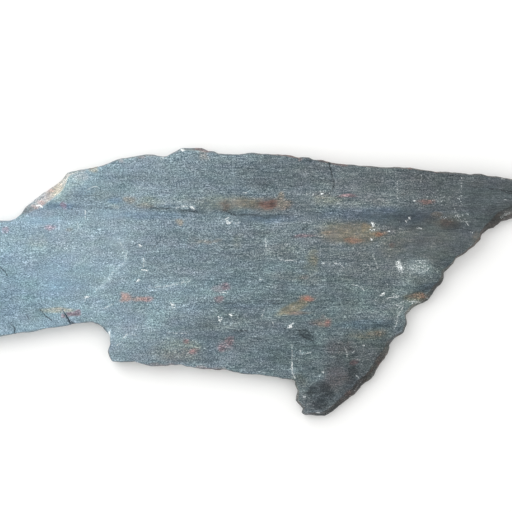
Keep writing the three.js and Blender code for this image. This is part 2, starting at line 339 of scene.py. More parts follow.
    def bed_rim(self, x: Array, y: Array) -> Array:
        """Gives how far in from the outline the rim of the bed lies."""
        return self.bed_inset + self.bed_wander * self.wander(x / 6, y / 6, 5)

    def ledge_foot(self, x: Array) -> Array:
        """Gives the y of the foot of the ledge: its drawn line, ragged by up to 2.4 mm."""
        xs, ys, _ = np.array(self.ledge_line).T
        ragged = 2.4 * fractal(x, 0 * x, 24, 24, seed=41, octaves=4)
        return np.interp(x, xs, ys) + ragged

    def ledge_breadth(self, x: Array) -> Array:
        """Gives how broad the slope of the ledge is: about twice what is drawn, more or less by noise."""
        xs, _, breadths = np.array(self.ledge_line).T
        return np.interp(x, xs, breadths) * (2.0 + 1.2 * fractal(x, 0 * x, 40, 40, seed=47))

    def ledge(self, x: Array, y: Array) -> Array:
        """Gives the rise of the lamina north of the ledge: eased across it, fading out eastwards."""
        rise = self.ledge_rise * (1.0 - 0.7 * ease((x - 300) / 120))
        return rise * ease((y - self.ledge_foot(x)) / self.ledge_breadth(x))

    def point(self, x: Array, y: Array) -> Array:
        """Gives the form of the lower point: a flake with a raised west edge that falls away south."""
        ridge = 84 + 0.1 * (-90 - y)
        flake = 1.6 * ease((x - ridge) / 4) - 0.02 * np.maximum(0, x - ridge)
        fall = self.tip_fall * ease((-110 - y) / 110)
        return ease((-80 - y) / 30) * flake - fall

    def swell(self, x: Array, y: Array) -> Array:
        """Gives a long low swell, three slanting sine waves drawn out along the grain."""
        long = 0.55 * np.sin(x / 83 + y / 47 + 0.6)
        middle = 0.35 * np.sin(x / 41 - y / 23 + 2.1)
        short = 0.22 * np.sin(x / 23 + y / 11 + 4.0)
        return long + middle + short

    def face_height(self, x: Array, y: Array) -> Array:
        """Gives the main height of the face: thickness, swell, ledge and point, less the scars."""
        scars = sum(scar.depth_at(x, y) for scar in self.scars)
        return self.thickness + self.swell(x, y) + self.ledge(x, y) + self.point(x, y) - scars


@dataclass(frozen=True)
class Relief:
    """The fine relief of the riven face, on top of its main form, in millimetres."""

    lamina_step: float = 0.5
    lamina_levels: float = 5.0
    grain_height: float = 0.16
    pit_height: float = 0.2
    groove_depth: float = 0.6
    groove_reach: float = 3.0
    chip_depth: float = 1.2
    chip_reach: float = 5.0

    def laminae(self, x: Array, y: Array) -> Array:
        """Gives terraces a step apart: noise drawn out along the grain, cut into steep-sided levels."""
        levels = self.lamina_levels * fractal(x, y + 0.05 * x, 150, 26, seed=3, octaves=5)
        whole = np.floor(levels)
        return self.lamina_step * (whole + ease((levels - whole - 0.72) / 0.28))

    def grain(self, x: Array, y: Array) -> Array:
        """Gives fine ridges along the grain and small pits: two noises, one drawn out and one round."""
        ridges = self.grain_height * fractal(x, y, 46, 4.5, seed=11, octaves=2)
        pits = self.pit_height * fractal(x, y, 7, 5, seed=23, octaves=2)
        return ridges + pits

    def groove(self, shape: SlabShape, x: Array, y: Array) -> Array:
        """Gives the groove below the ledge: deepest 1 mm south of its foot, and broken by noise."""
        off = np.abs(y - shape.ledge_foot(x) + 1.0)
        fade = ease((x + 150) / 50) * ease((70 - x) / 90)
        fade = fade * ease(0.6 + 1.5 * fractal(x, 0 * x, 50, 50, seed=43))
        return -self.groove_depth * fade * ease(1.0 - off / self.groove_reach)

    def chips(self, x: Array, y: Array, to_edge: Array) -> Array:
        """Gives the spalled rim of the face: bites out of the arris where a noise is high."""
        bite = ease(1.6 * fractal(x, y, 16, 16, seed=31))
        return -self.chip_depth * bite * ease(1.0 - to_edge / self.chip_reach)

    def height(self, shape: SlabShape, x: Array, y: Array, to_edge: Array) -> Array:
        """Gives all the fine relief together. The laminae are lower in the west, which is smoother."""
        smooth_west = 1.0 - 0.6 * ease((-170 - x) / 120)
        fine = self.laminae(x, y) * smooth_west + self.grain(x, y)
        return fine + self.groove(shape, x, y) + self.chips(x, y, to_edge)


@dataclass(frozen=True)
class Patch:
    """An ellipse of colour with soft ends, in slab millimetres."""

    x: float
    y: float
    along: float
    across: float
    strength: float = 1.0
    turn: float = 0.0

    def mask(self, x: Array, y: Array) -> Array:
        """Gives the patch's strength at points: full inside, eased to none at 1.3 times its size."""
        dx, dy = x - self.x, y - self.y
        u = (dx * np.cos(self.turn) + dy * np.sin(self.turn)) / self.along
        v = (dy * np.cos(self.turn) - dx * np.sin(self.turn)) / self.across
        return self.strength * ease((1.3 - np.hypot(u, v)) / 0.8)


@dataclass(frozen=True)
class Streak:
    """A line of colour along a path, in slab millimetres. Its width is from the middle to one side."""

    path: Path
    width: float
    strength: float = 1.0

    def mask(self, x: Array, y: Array) -> Array:
        """Gives the streak's strength at points: full on the path, eased to none at twice its width."""
        nearest = np.full(np.shape(x), np.inf)
        for (ax, ay), (bx, by) in zip(self.path, self.path[1:]):
            span = np.hypot(bx - ax, by - ay)
            t = np.clip(((x - ax) * (bx - ax) + (y - ay) * (by - ay)) / span**2, 0.0, 1.0)
            nearest = np.minimum(nearest, np.hypot(x - ax - t * (bx - ax), y - ay - t * (by - ay)))
        return self.strength * ease(2.0 - nearest / self.width)


def patches(*rows: tuple[float, ...]) -> tuple[Patch, ...]:
    """Gives a patch for each row of x, y, along, across, strength and turn."""
    return tuple(Patch(*row) for row in rows)


def strokes(*rows: tuple[float, ...]) -> tuple[Streak, ...]:
    """Gives a line for each row of half width, strength and then x and y of each of its points."""
    return tuple(Streak(tuple(zip(row[2::2], row[3::2])), row[0], row[1]) for row in rows)


@dataclass(frozen=True)
class Marks:
    """Where each tint lies on the slab, and how its outline wanders."""

    warp: float = 3.0
    places: dict[Tint, tuple[Patch | Streak, ...]] = field(default_factory=lambda: {
        # painted shade on the trough, under the ledge, in the bowls and on the lower point, which slopes
        # away from the lamp; elsewhere it darkens the slate in broad patches
        Tint.SHADE: (
            *patches(
                (-120, -116, 78, 16, 0.34), (130, -112, 95, 18, 0.25), (136, -178, 42, 20, 0.45),
                (-48, -80, 24, 26, 0.4), (88, -80, 18, 14, 0.25), (-308, -48, 22, 16, 0.4),
                (256, 88, 52, 15, 0.4), (262, 56, 38, 13, 0.2), (351, 116, 16, 16, 0.3),
                (384, 84, 18, 16, 0.3), (38, 114, 32, 12, 0.2), (-10, 150, 62, 15, 0.3),
                (-160, 150, 34, 13, 0.33), (240, 150, 62, 16, 0.1), (-160, 50, 34, 13, 0.17),
                (54, 150, 40, 14, 0.35), (84, 150, 18, 14, 0.2), (54, 116, 30, 10, 0.3),
                (196, 150, 18, 12, 0.2), (284, 150, 22, 26, 0.25), (318, 116, 16, 12, 0.3),
                (318, 84, 16, 12, 0.7), (351, 84, 14, 12, 0.2), (310, 150, 20, 12, 0.2),
                (-78, -82, 18, 12, 0.3), (-28, -82, 30, 12, 0.15), (-44, -115, 18, 10, 0.3),
                (186, -115, 18, 14, 0.35), (-12, -48, 18, 12, 0.15), (55, -15, 16, 13, 0.25),
                (170, -112, 70, 26, 0.35, 0.7), (60, -100, 90, 34, 0.25), (240, 90, 74, 17, 0.2),
                (322, 34, 24, 34, 0.45, -0.6), (60, 176, 110, 16, 0.25), (-205, 128, 60, 14, 0.2),
                (-350, -18, 24, 50, 0.25), (395, 128, 70, 30, 0.15), (-110, 48, 90, 26, 0.12),
                (95, -30, 120, 10, 0.15), (-19, 110, 9, 9, 0.35), (52, 114, 7, 6, 0.55),
                (44, 114, 11, 5, 0.3), (174, -131, 8, 9, 0.6), (168, -148, 9, 14, 0.5),
                (111, -167, 9, 8, 0.4), (120, -154, 14, 6, 0.35), (133, -166, 16, 13, 0.45, 0.5),
                (122, -182, 15, 12, 0.5), (88, -148, 13, 11, 0.45), (180, -146, 14, 12, 0.3),
                (104, -82, 12, 7, 0.35), (190, -72, 42, 8, 0.25), (290, -9, 22, 7, 0.35, 0.4),
                (-279, 111, 12, 4, 0.3), (108, 182, 6, 3, 0.6), (-120, 108, 22, 4, 0.2),
                (52, 96, 36, 6, 0.25), (340, 88, 90, 22, 0.2), (150, -130, 26, 46, 0.35),
                (214, -108, 16, 18, 0.35), (-14, -38, 22, 14, 0.15), (21, 116, 16, 14, 0.22),
                (55, -115, 16, 12, 0.2), (-230, 110, 40, 5, 0.2), (388, 104, 26, 12, 0.4, 0.6),
                (-80, -91, 4, 4, 0.4), (154, -92, 8, 6, 0.4), (-318, 104, 12, 4, 0.3),
                (-304, 106, 8, 3, 0.3), (-55, 110, 8, 5, 0.35), (-21, 112, 4, 6, 0.6),
                (-16, 134, 16, 8, 0.15), (160, -104, 18, 10, 0.2),
            ),
            Streak(((-259, -53), (-250, -51), (-238, -48)), 2.4, 0.55),
            # painted shadow under the ledge, in these two streaks
            Streak(((-130, 108), (-104, 106), (-66, 104), (-50, 101)), 2.0, 0.5),
            Streak(((-14, 101), (4, 98), (36, 96), (76, 98)), 2.0, 0.45),
        ),
        # lightens the slate in patches; in the west this is painted sky sheen
        Tint.LIGHT: (
            *patches(
                (-210, -48, 16, 13, 0.3), (-180, -80, 12, 16, 0.35), (-110, -30, 22, 32, 0.25),
                (-77, -30, 20, 30, 0.2), (190, -50, 24, 15, 0.45), (214, -50, 14, 14, 0.45),
                (270, 18, 34, 16, 0.35), (250, -15, 16, 15, 0.25), (190, 118, 56, 13, 0.45),
                (318, 116, 16, 15, 0.1), (-110, 116, 20, 12, 0.45), (-28, 82, 36, 13, 0.42),
                (78, 84, 50, 13, 0.25), (22, 182, 20, 9, 0.4), (-242, 150, 18, 14, 0.4),
                (-276, 84, 18, 13, 0.35), (-44, 50, 20, 13, 0.25), (-276, 0, 20, 28, 0.25),
                (-230, 156, 30, 14, 0.3, 0.7), (-125, 134, 50, 12, 0.2), (150, 132, 80, 12, 0.15),
                (-200, 50, 70, 60, 0.22), (64, 76, 28, 24, 0.25), (248, -20, 22, 24, 0.5),
                (210, -34, 26, 12, 0.3), (-350, 95, 60, 16, 0.3), (-80, 187, 110, 12, 0.3),
                (185, -66, 34, 10, 0.2), (-170, -26, 10, 9, 0.3), (192, 79, 8, 6, 0.4),
                (102, -26, 14, 6, 0.4), (241, 22, 7, 10, 0.85, 0.3), (270, 20, 20, 15, 1.0),
                (276, 24, 14, 12, 0.6), (104, -27, 8, 5, 0.5), (133, -63, 6, 6, 0.4),
                (90, -39, 6, 4, 0.5), (282, 118, 8, 3, 0.4), (62, 124, 8, 7, 0.3), (66, 113, 7, 5, 0.4),
                (-330, 50, 40, 20, 0.2), (-192, -82, 5, 13, 0.6), (232, -36, 6, 5, 0.8),
                (240, -45, 6, 6, 0.6), (257, -33, 14, 4, 0.7, 0.1), (-185, 110, 8, 4, 0.25),
                (-133, -47, 6, 20, 0.3), (-130, -68, 9, 9, 0.35), (-114, -68, 9, 13, 0.25),
                (-182, 56, 12, 12, 0.4), (92, -119, 12, 16, 0.3), (82, -135, 6, 16, 0.3),
                (98, -165, 5, 14, 0.2), (-22, -19, 8, 4, 0.5), (80, -40, 6, 3, 0.5),
                (170, 70, 26, 12, 0.15), (200, -108, 12, 16, 0.3, -0.8), (-12, 150, 18, 14, 0.3),
                (0, 179, 32, 10, 0.3), (236, 150, 26, 14, 0.2), (120, 116, 16, 10, 0.25),
                (153, 116, 16, 10, 0.15), (350, 118, 16, 14, 0.25), (384, 118, 14, 10, 0.2),
                (120, 84, 18, 12, 0.4), (54, 84, 18, 12, 0.2), (88, 50, 18, 14, 0.35),
                (152, 50, 18, 12, 0.2), (54, 50, 16, 14, 0.2), (-176, 18, 18, 14, 0.35),
                (54, 18, 20, 14, 0.3), (88, 18, 18, 14, 0.2), (153, 18, 18, 14, 0.35),
                (220, 18, 16, 14, 0.3), (252, 10, 16, 14, 0.8), (-209, -15, 18, 14, 0.3),
                (-44, -15, 18, 14, 0.42), (22, -15, 18, 14, 0.4), (54, -15, 18, 14, 0.2),
                (88, -15, 16, 14, 0.35), (186, -15, 18, 14, 0.3), (-308, -49, 18, 14, 0.25),
                (54, -48, 18, 14, 0.35), (153, -48, 18, 14, 0.25), (220, -48, 16, 14, 0.6),
                (250, -46, 14, 14, 0.9), (186, -82, 18, 12, 0.4), (54, -82, 16, 12, 0.2),
                (120, -82, 16, 12, 0.3), (240, 80, 14, 12, 0.25), (210, -116, 10, 12, 0.4),
                (252, -4, 12, 10, 0.3), (-12, -115, 18, 12, 0.35), (22, -115, 18, 12, 0.3),
                (120, -115, 18, 14, 0.4), (153, -115, 18, 14, 0.45), (120, -148, 14, 9, 0.75),
                (-264, 136, 26, 10, 0.5, 0.8), (-240, 152, 16, 10, 0.3), (-94, 116, 33, 13, 0.25),
                (-308, 84, 16, 13, 0.2), (-242, 84, 16, 13, 0.2), (-78, 84, 16, 13, 0.25),
                (284, 10, 14, 14, 0.25), (-260, -46, 34, 14, 0.25), (-144, -82, 30, 13, 0.17),
                (220, -82, 14, 12, 0.25), (220, -112, 14, 14, 0.4), (-341, 18, 16, 14, 0.15),
                (-110, -48, 16, 13, 0.22), (318, 40, 20, 16, 0.1), (-230, -34, 34, 14, 0.12),
                (-283, 75, 50, 16, 0.1),
            ),
            Streak(((249, -33), (242, -44), (238, -56), (234, -71)), 3.0, 0.55),
            Streak(((41, 57), (44, 36)), 3.6, 0.35),
            Streak(((44, 36), (42, -28)), 3.6, 0.15),
            Streak(((-178, 61), (-168, 40), (-170, 28), (-188, 13), (-202, -6), (-214, -14)), 2.4, 0.6),
        ),
        # painted deep shade in the trough, the bowls and on the lower point and its edges, which slope away
        # from the lamp; with dark blotches of the stone on the point
        Tint.DUSK: patches(
            (134, -166, 50, 40, 0.2), (110, -165, 7, 6, 1.0), (127, -160, 11, 12, 1.0, 0.4),
            (135, -169, 9, 9, 0.8), (122, -183, 13, 9, 1.0), (186, -140, 12, 56, 0.5, -0.72),
            (-246, -50, 10, 3, 0.4), (116, -166, 14, 6, 0.5), (152, -118, 7, 7, 0.6),
            (170, -142, 8, 18, 0.7), (184, -150, 6, 26, 0.5, -0.7), (150, -186, 6, 26, 0.5, -0.9),
            (104, -83, 13, 7, 0.6, -0.5), (211, -112, 5, 22, 0.6, -0.4), (288, -9, 20, 5, 0.3, 0.4),
            (386, 86, 30, 8, 0.45, 0.5), (300, -2, 7, 10, 0.4), (-318, 105, 12, 4, 0.15),
            (-18, 106, 12, 6, 0.3), (60, -8, 8, 6, 0.2), (44, -22, 12, 8, 0.25), (222, -92, 8, 12, 0.4),
            (250, 92, 40, 6, 0.25), (236, -66, 14, 8, 0.3), (52, 115, 6, 5, 0.35),
            (105, -140, 20, 26, 0.15), (100, -190, 22, 14, 0.3),
        ),
        Tint.CALM: patches(
            (240, 95, 78, 15, 0.7), (330, 58, 90, 40, 0.6), (-276, 0, 42, 34, 0.35),
            (-296, 92, 34, 10, 0.6), (-172, 98, 60, 7, 0.5), (28, 95, 40, 8, 0.4), (240, 46, 60, 22, 0.4),
            (360, 110, 70, 40, 0.45), (-275, 130, 40, 26, 0.4), (165, 70, 46, 18, 0.8),
            (0, 113, 60, 12, 0.7), (48, 114, 20, 9, 0.9), (420, 110, 60, 50, 0.6),
            (-12, 116, 20, 10, 0.5), (300, 80, 60, 26, 0.5), (350, 140, 60, 18, 0.4),
            (-169, -26, 10, 8, 0.5), (268, 20, 18, 12, 0.5), (-184, 56, 14, 14, 0.6),
            (80, -43, 24, 12, 0.8), (102, -27, 14, 6, 0.7), (130, -64, 18, 8, 0.5),
            (150, -142, 26, 22, 0.3), (-88, 87, 8, 5, 0.5),
        ),
        Tint.CHALK: (
            *patches(
                (-146, 52, 3, 2, 1.0), (-141, 30, 2, 7, 0.7), (-141, 17, 4, 2, 1.0),
                (-151, 0, 2.5, 3, 1.0, -0.5), (-226, -25, 6, 3, 0.8), (-229, -31, 3, 4, 0.5),
                (-85, 195, 6, 3, 1.0, -0.4), (-115, 183, 5, 4, 0.7), (-80, 111, 11, 2.5, 0.45),
                (-68, 109, 4, 3, 1.0, -0.6), (-110, 118, 6, 3, 0.4), (-14, 88, 5, 4, 0.9),
                (-24, 91, 9, 2.5, 0.6), (-2, 87, 8, 2.5, 0.5), (-126, 51, 2, 1.5, 0.8),
                (125, 130, 2, 2, 1.0), (108, 129, 12, 2.5, 0.5), (150, 126, 3, 1.5, 0.5),
                (200, 85, 4, 4, 1.0), (203, 77, 9, 2.5, 0.7), (199, 61, 2, 2, 1.0), (217, 77, 2, 2, 0.7),
                (225, 74, 2, 1.5, 0.8), (192, 117, 6, 5, 0.35), (255, 94, 2.5, 2.5, 1.0),
                (250, 89, 2, 1.5, 0.8), (270, 78, 4, 1.8, 0.7), (240, 80, 5, 2.5, 0.5),
                (250, 76, 2, 1, 0.7), (262, 119, 3, 2, 0.8), (300, 119, 7, 2, 0.6),
                (305, 95, 26, 5, 0.35), (330, 108, 8, 16, 0.15), (339, 88, 6, 8, 0.35),
                (350, 73, 5, 3, 0.5), (239, 26, 5, 6, 0.85), (243, 18, 5, 7, 0.85, 0.4),
                (250, 20, 5, 3, 0.5), (244, 6, 8, 5, 0.3), (270, 21, 18, 12, 0.3), (320, 27, 4, 3, 0.5),
                (215, -20, 3, 2, 0.9), (205, -30, 7, 2, 0.6), (230, -26, 9, 2, 0.5),
                (238, -36, 6, 5, 0.7), (268, -31, 18, 3.5, 0.5, 0.2), (78, -69, 7, 4.5, 0.8),
                (-98, -38, 6, 6, 0.6), (-97, -36, 2, 3, 0.9), (-28, -57, 3, 4, 0.9),
                (-13, -51, 2, 1.5, 1.0), (-24, -20, 8, 3, 0.5), (-82, -73, 2, 1.5, 0.6),
                (126, -137, 4, 2, 0.6), (98, -174, 2, 1.5, 0.9), (187, -97, 2, 1.5, 0.7),
                (215, -76, 2, 1.5, 0.6), (118, -198, 2, 1.5, 0.7), (-192, -80, 3, 6, 0.9),
                (35, -136, 9, 2, 0.5), (-184, 110, 6, 3, 0.35), (405, 100, 5, 7, 0.5, -0.6),
                (396, 95, 6, 3, 0.5), (114, -52, 3, 2, 0.5), (84, -39, 8, 3, 0.35),
                (100, -120, 22, 20, 0.25), (-120, -55, 24, 26, 0.25), (110, -185, 16, 12, 0.25),
                (210, -10, 34, 26, 0.22), (40, 150, 120, 26, 0.15), (-130, 150, 60, 20, 0.2),
                (88, -166, 6, 22, 0.3),
            ),
            Streak(((-122, -11), (-103, -9), (-88, -5), (-73, -1)), 2.0, 0.5),
            Streak(((247, -34), (242, -44), (239, -56), (235, -71)), 3.2, 0.3),
            # painted highlight along the lit west edge of the lower point's ridge
            Streak(((80, -122), (80, -138)), 1.8, 0.5),
            Streak(((41, 60), (44, 36)), 2.6, 0.4),
        ),
        # painted shade, blue with the sky, in the trough, under the ledge and on risers that face away from
        # the lamp; painted sky reflection on the smooth west scar
        Tint.STEEL: patches(
            (-265, 112, 20, 5, 0.8), (-296, 93, 30, 10, 0.3), (-130, 97, 60, 7, 0.5),
            (189, -65, 46, 8, 0.8), (283, -9, 22, 7, 0.7, 0.3), (210, 99, 100, 13, 0.85),
            (50, 93, 40, 7, 0.8), (20, -37, 40, 4, 0.25), (-184, 119, 14, 5, 0.8),
            (-276, 0, 40, 34, 0.25), (265, 92, 12, 8, 0.5), (272, 20, 20, 14, 0.3),
        ),
        Tint.TEAL: patches(
            (-200, -20, 190, 50, 0.3), (60, -10, 150, 45, 0.45), (190, -50, 110, 60, 0.7),
            (300, 0, 60, 50, 0.6), (80, -110, 60, 50, 0.6), (-200, 150, 40, 30, 0.3),
            (370, 110, 50, 30, 0.4), (-122, -52, 18, 22, 0.4),
        ),
        Tint.OLIVE: patches(
            (112, 34, 9, 14, 1.0), (109, 18, 11, 10, 0.5), (-1, 60, 10, 10, 0.5),
            (-91, -104, 40, 18, 0.6), (-71, -98, 15, 10, 0.5), (-134, 118, 22, 8, 0.7),
            (-80, 119, 50, 7, 0.4), (-11, 115, 56, 12, 0.8), (131, 120, 26, 9, 0.7),
            (142, 73, 26, 18, 0.8), (176, 70, 32, 20, 0.8), (196, -81, 34, 8, 0.6),
            (263, -24, 20, 8, 0.7), (-302, 61, 16, 12, 0.4), (230, 51, 20, 16, 0.6),
            (-270, -44, 26, 5, 0.7), (104, 2, 18, 10, 0.3), (82, -40, 27, 9, 0.9, 0.4),
            (288, 34, 50, 18, 0.3, 0.8), (306, 92, 30, 9, 0.5), (60, 42, 40, 14, 0.3),
            (250, 68, 70, 12, 0.5), (-280, 136, 24, 10, 0.3), (-300, 56, 80, 26, 0.15),
            (-20, -62, 46, 14, 0.3), (200, -100, 26, 20, 0.3), (98, -184, 14, 24, 0.3),
            (90, -150, 14, 14, 0.5), (-256, 142, 34, 20, 0.5, 0.8),
        ),
        Tint.BLOOM: (
            *patches(
                (270, 20, 20, 14, 0.95, 0.2), (253, 13, 12, 12, 0.5), (241, 22, 6, 9, 0.7),
                (232, -40, 12, 8, 0.5, 0.6), (330, 110, 9, 28, 0.38), (220, 123, 14, 9, 0.4),
                (290, 125, 32, 4, 0.45), (312, 92, 14, 4, 0.6), (254, -32, 18, 4, 0.5, 0.4),
                (236, -60, 4, 14, 0.3), (-192, -82, 6, 12, 0.6), (-80, 110, 20, 5, 0.45),
                (-143, 138, 30, 12, 0.35), (-15, 90, 16, 5, 0.5), (-132, -60, 12, 24, 0.35),
                (-142, 22, 5, 12, 0.4), (-26, -20, 12, 4, 0.5), (-185, 110, 8, 4, 0.25),
                (-48, 186, 10, 8, 0.25), (300, 118, 34, 10, 0.45), (332, 128, 9, 20, 0.4),
                (338, 90, 12, 14, 0.45), (120, 124, 30, 7, 0.55), (400, 98, 12, 6, 0.8, 0.6),
                (-118, 180, 12, 5, 0.4), (34, -136, 9, 3, 0.6), (-292, 0, 90, 120, 0.12),
                (205, 80, 20, 7, 0.6), (-98, -35, 8, 8, 0.4), (-224, 136, 16, 6, 0.3),
                (124, -137, 9, 5, 0.5), (-30, 150, 60, 26, 0.15), (-360, 70, 30, 20, 0.3),
                (4, -17, 12, 7, 0.4), (238, 140, 8, 16, 0.35), (265, 150, 30, 10, 0.2),
                (205, -56, 14, 10, 0.4), (196, -112, 18, 18, 0.4, -0.8), (98, -182, 12, 14, 0.3),
                (315, 96, 30, 8, 0.35), (245, 76, 12, 5, 0.4),
            ),
            Streak(((-140, -13), (-121, -9), (-100, -8), (-73, 1)), 2.4, 0.6),
            Streak(((-172, 46), (-168, 36), (-176, 24)), 2.0, 0.5),
            Streak(((249, -33), (242, -44), (238, -56), (234, -71)), 3.4, 0.55),
            # painted highlight along the lit west edge of the lower point's ridge
            Streak(((79, -96), (81, -118), (82, -146)), 2.4, 0.45),
            Streak(((40, 57), (44, 36)), 4.0, 0.35),
            Streak(((-136, -40), (-130, -74)), 4.0, 0.3),
            Streak(((199, 41), (206, 28), (207, 5)), 2.6, 0.4),
            Streak(((-229, 106), (-230, 88)), 3.0, 0.35),
            Streak(((92, -104), (104, -108), (116, -104)), 3.0, 0.3),
        ),
        Tint.OCHRE: patches(
            (63, 125, 6, 8, 1.0), (69, 114, 10, 9, 1.0), (48, 114, 30, 11, 0.6), (14, 117, 26, 9, 0.45),
            (-22, 113, 12, 10, 0.3), (-88, 87, 8, 4, 1.0), (-169, -26, 8, 6, 0.4),
            (-148, -27, 12, 4, 0.4), (-50, 58, 14, 4, 0.6), (-30, 59, 8, 3, 0.4), (164, 70, 48, 16, 0.45),
            (190, 80, 9, 7, 0.9), (209, 70, 12, 5, 1.0), (130, 71, 8, 4, 0.7), (171, 60, 15, 5, 0.5),
            (83, -40, 28, 8, 0.75, 0.42), (90, -48, 18, 3.5, 0.6), (100, -27, 14, 5, 0.5),
            (128, -63, 14, 6, 0.5), (270, -22, 12, 5, 0.7), (258, -26, 12, 6, 0.4), (296, 98, 9, 5, 0.7),
            (-163, 121, 9, 6, 0.7), (-185, 110, 8, 4, 0.25), (-140, 112, 18, 4, 0.35),
            (-270, -44, 26, 4, 0.6), (-217, 166, 5, 5, 1.0), (-254, 76, 6, 4, 0.4),
            (203, -79, 12, 4, 0.45), (190, -83, 28, 5, 0.3), (-53, 187, 9, 8, 0.5), (356, 64, 7, 9, 0.5),
            (112, 30, 6, 9, 0.35), (70, 6, 30, 8, 0.2), (-278, 132, 26, 8, 0.25, 0.8),
            (309, 84, 20, 8, 0.35), (-205, 128, 24, 6, 0.15),
        ),
        Tint.RUST: (
            *patches(
                (46, 114, 14, 7, 1.0), (52, 114, 8, 7, 0.9), (-21, 112, 6, 9, 0.25),
                (-169, -26, 10, 8, 0.85), (-172, -22, 4, 5, 0.6), (-152, -27, 12, 4, 0.45),
                (-139, -28, 10, 5, 0.8), (14, 114, 30, 8, 0.12), (101, -27, 15, 6, 0.6),
                (90, -49, 16, 3.6, 0.35), (120, -63, 15, 6, 0.35), (172, 60, 15, 5, 0.5),
                (282, 118, 9, 3.6, 1.0), (279, 118, 12, 4, 0.5), (211, 69, 7, 4, 0.7),
                (-296, 117, 6, 4, 0.5), (-283, 134, 5, 3, 0.35), (-306, 110, 8, 4, 0.4),
                (164, -168, 5, 7, 0.5, -0.7), (266, -23, 14, 4, 0.35), (275, -22, 5, 3.5, 0.6),
                (213, -78, 10, 5, 0.3), (311, 88, 9, 6, 0.35), (230, 53, 4, 4, 0.6), (93, 182, 4, 3, 0.8),
                (78, 187, 5, 3, 0.6), (255, 167, 3, 3, 0.8), (296, 164, 4, 3, 0.7),
                (-175, 179, 4, 3, 0.5), (-146, 184, 5, 3, 0.5), (98, 5, 8, 4, 0.35),
                (-90, -112, 40, 12, 0.15), (-68, 56, 12, 10, 0.2), (150, -100, 24, 12, 0.25),
                (-236, 158, 12, 10, 0.2), (146, -148, 22, 18, 0.25), (124, 128, 14, 6, 0.2),
            ),
            Streak(((47, 191), (70, 189), (88, 186)), 1.8, 0.6),
            Streak(((122, 180), (140, 176), (160, 173)), 1.8, 0.6),
            Streak(((-62, 198), (-46, 194)), 1.8, 0.6),
            Streak(((-60, -131), (-20, -133)), 2.0, 0.4),
            Streak(((-140, -127), (-100, -127)), 2.0, 0.4),
        ),
        Tint.ROSE: (
            *patches(
                (-14, -90, 7, 7, 1.0), (-24, -101, 6, 6, 0.9), (-20, -98, 13, 9, 0.4),
                (-80, -91, 5, 4, 1.0), (-66, -105, 7, 5, 0.8), (-18, -8, 8, 6, 0.8),
                (-30, -12, 11, 7, 0.4), (-30, -28, 8, 5, 0.85), (104, -28, 9, 5, 0.7),
                (135, -63, 6, 6, 0.9), (128, -55, 4, 3, 0.4), (164, 127, 16, 3, 0.8),
                (98, 67, 16, 3, 0.7), (-283, 79, 9, 4, 0.6), (-349, 76, 5, 4, 0.6),
                (-260, 112, 4, 6, 0.8), (173, -122, 6, 4, 0.9), (212, -126, 3, 6, 0.9),
                (-139, -28, 9, 5, 0.15), (-90, 10, 60, 12, 0.08), (146, -140, 18, 16, 0.12),
                (-296, 100, 24, 8, 0.15),
            ),
            Streak(((-259, -53), (-250, -51), (-238, -48)), 2.6, 1.0),
        ),
        # painted shade: dark umber on the breaks that face away from the lamp, along the lower point and at
        # the east corner
        Tint.UMBER: patches(
            (196, -146, 12, 60, 0.9, -0.72), (143, -192, 30, 9, 0.7, 0.5), (284, -22, 18, 9, 0.4, 0.7),
            (390, 98, 60, 14, 0.45, 0.5), (352, 56, 22, 8, 0.3, 0.8), (300, -6, 14, 12, 0.6, 0.8),
            (-318, 106, 14, 6, 0.35),
        ),
        # painted light: pale buff on the upper-left bevel, which faces the lamp; elsewhere a paler break
        Tint.BUFF: patches(
            (-284, 130, 38, 20, 1.0, 0.8), (-260, 153, 16, 14, 0.9, 0.6), (330, 36, 40, 14, 1.0, 0.75),
            (300, -4, 14, 18, 0.55, 0.9), (268, -36, 28, 12, 0.55, 0.4), (400, 90, 60, 10, 0.8, 0.5),
            (222, -112, 12, 14, 0.5), (165, -171, 14, 9, 0.5, 0.8), (400, 154, 70, 8, 0.4),
            (256, 166, 120, 8, 0.4), (92, -180, 10, 34, 0.25), (-120, 190, 100, 10, 0.12),
            (256, -62, 8, 18, 0.5),
        ),
    })

    def masks(self, x: Array, y: Array) -> dict[Tint, Array]:
        """Works out each tint's strength at points.

        The points are first moved by noise of a few millimetres, so that no ellipse shows. Marks of
        one tint are joined as 1 less the product of what each leaves bare.

        Args:
            x: Places along the grain, in slab millimetres.
            y: Places across it.

        Returns:
            For each tint, values from 0 to 1.
        """
        wx = x + 1.6 * self.warp * fractal(x, y, 14, 9, seed=51)
        wy = y + self.warp * fractal(x, y, 14, 9, seed=61)
        found = {}
        for tint, marks in self.places.items():
            bare = np.ones(np.shape(x))
            for mark in marks:
                bare = bare * (1.0 - mark.mask(wx, wy))
            found[tint] = 1.0 - bare
        return found


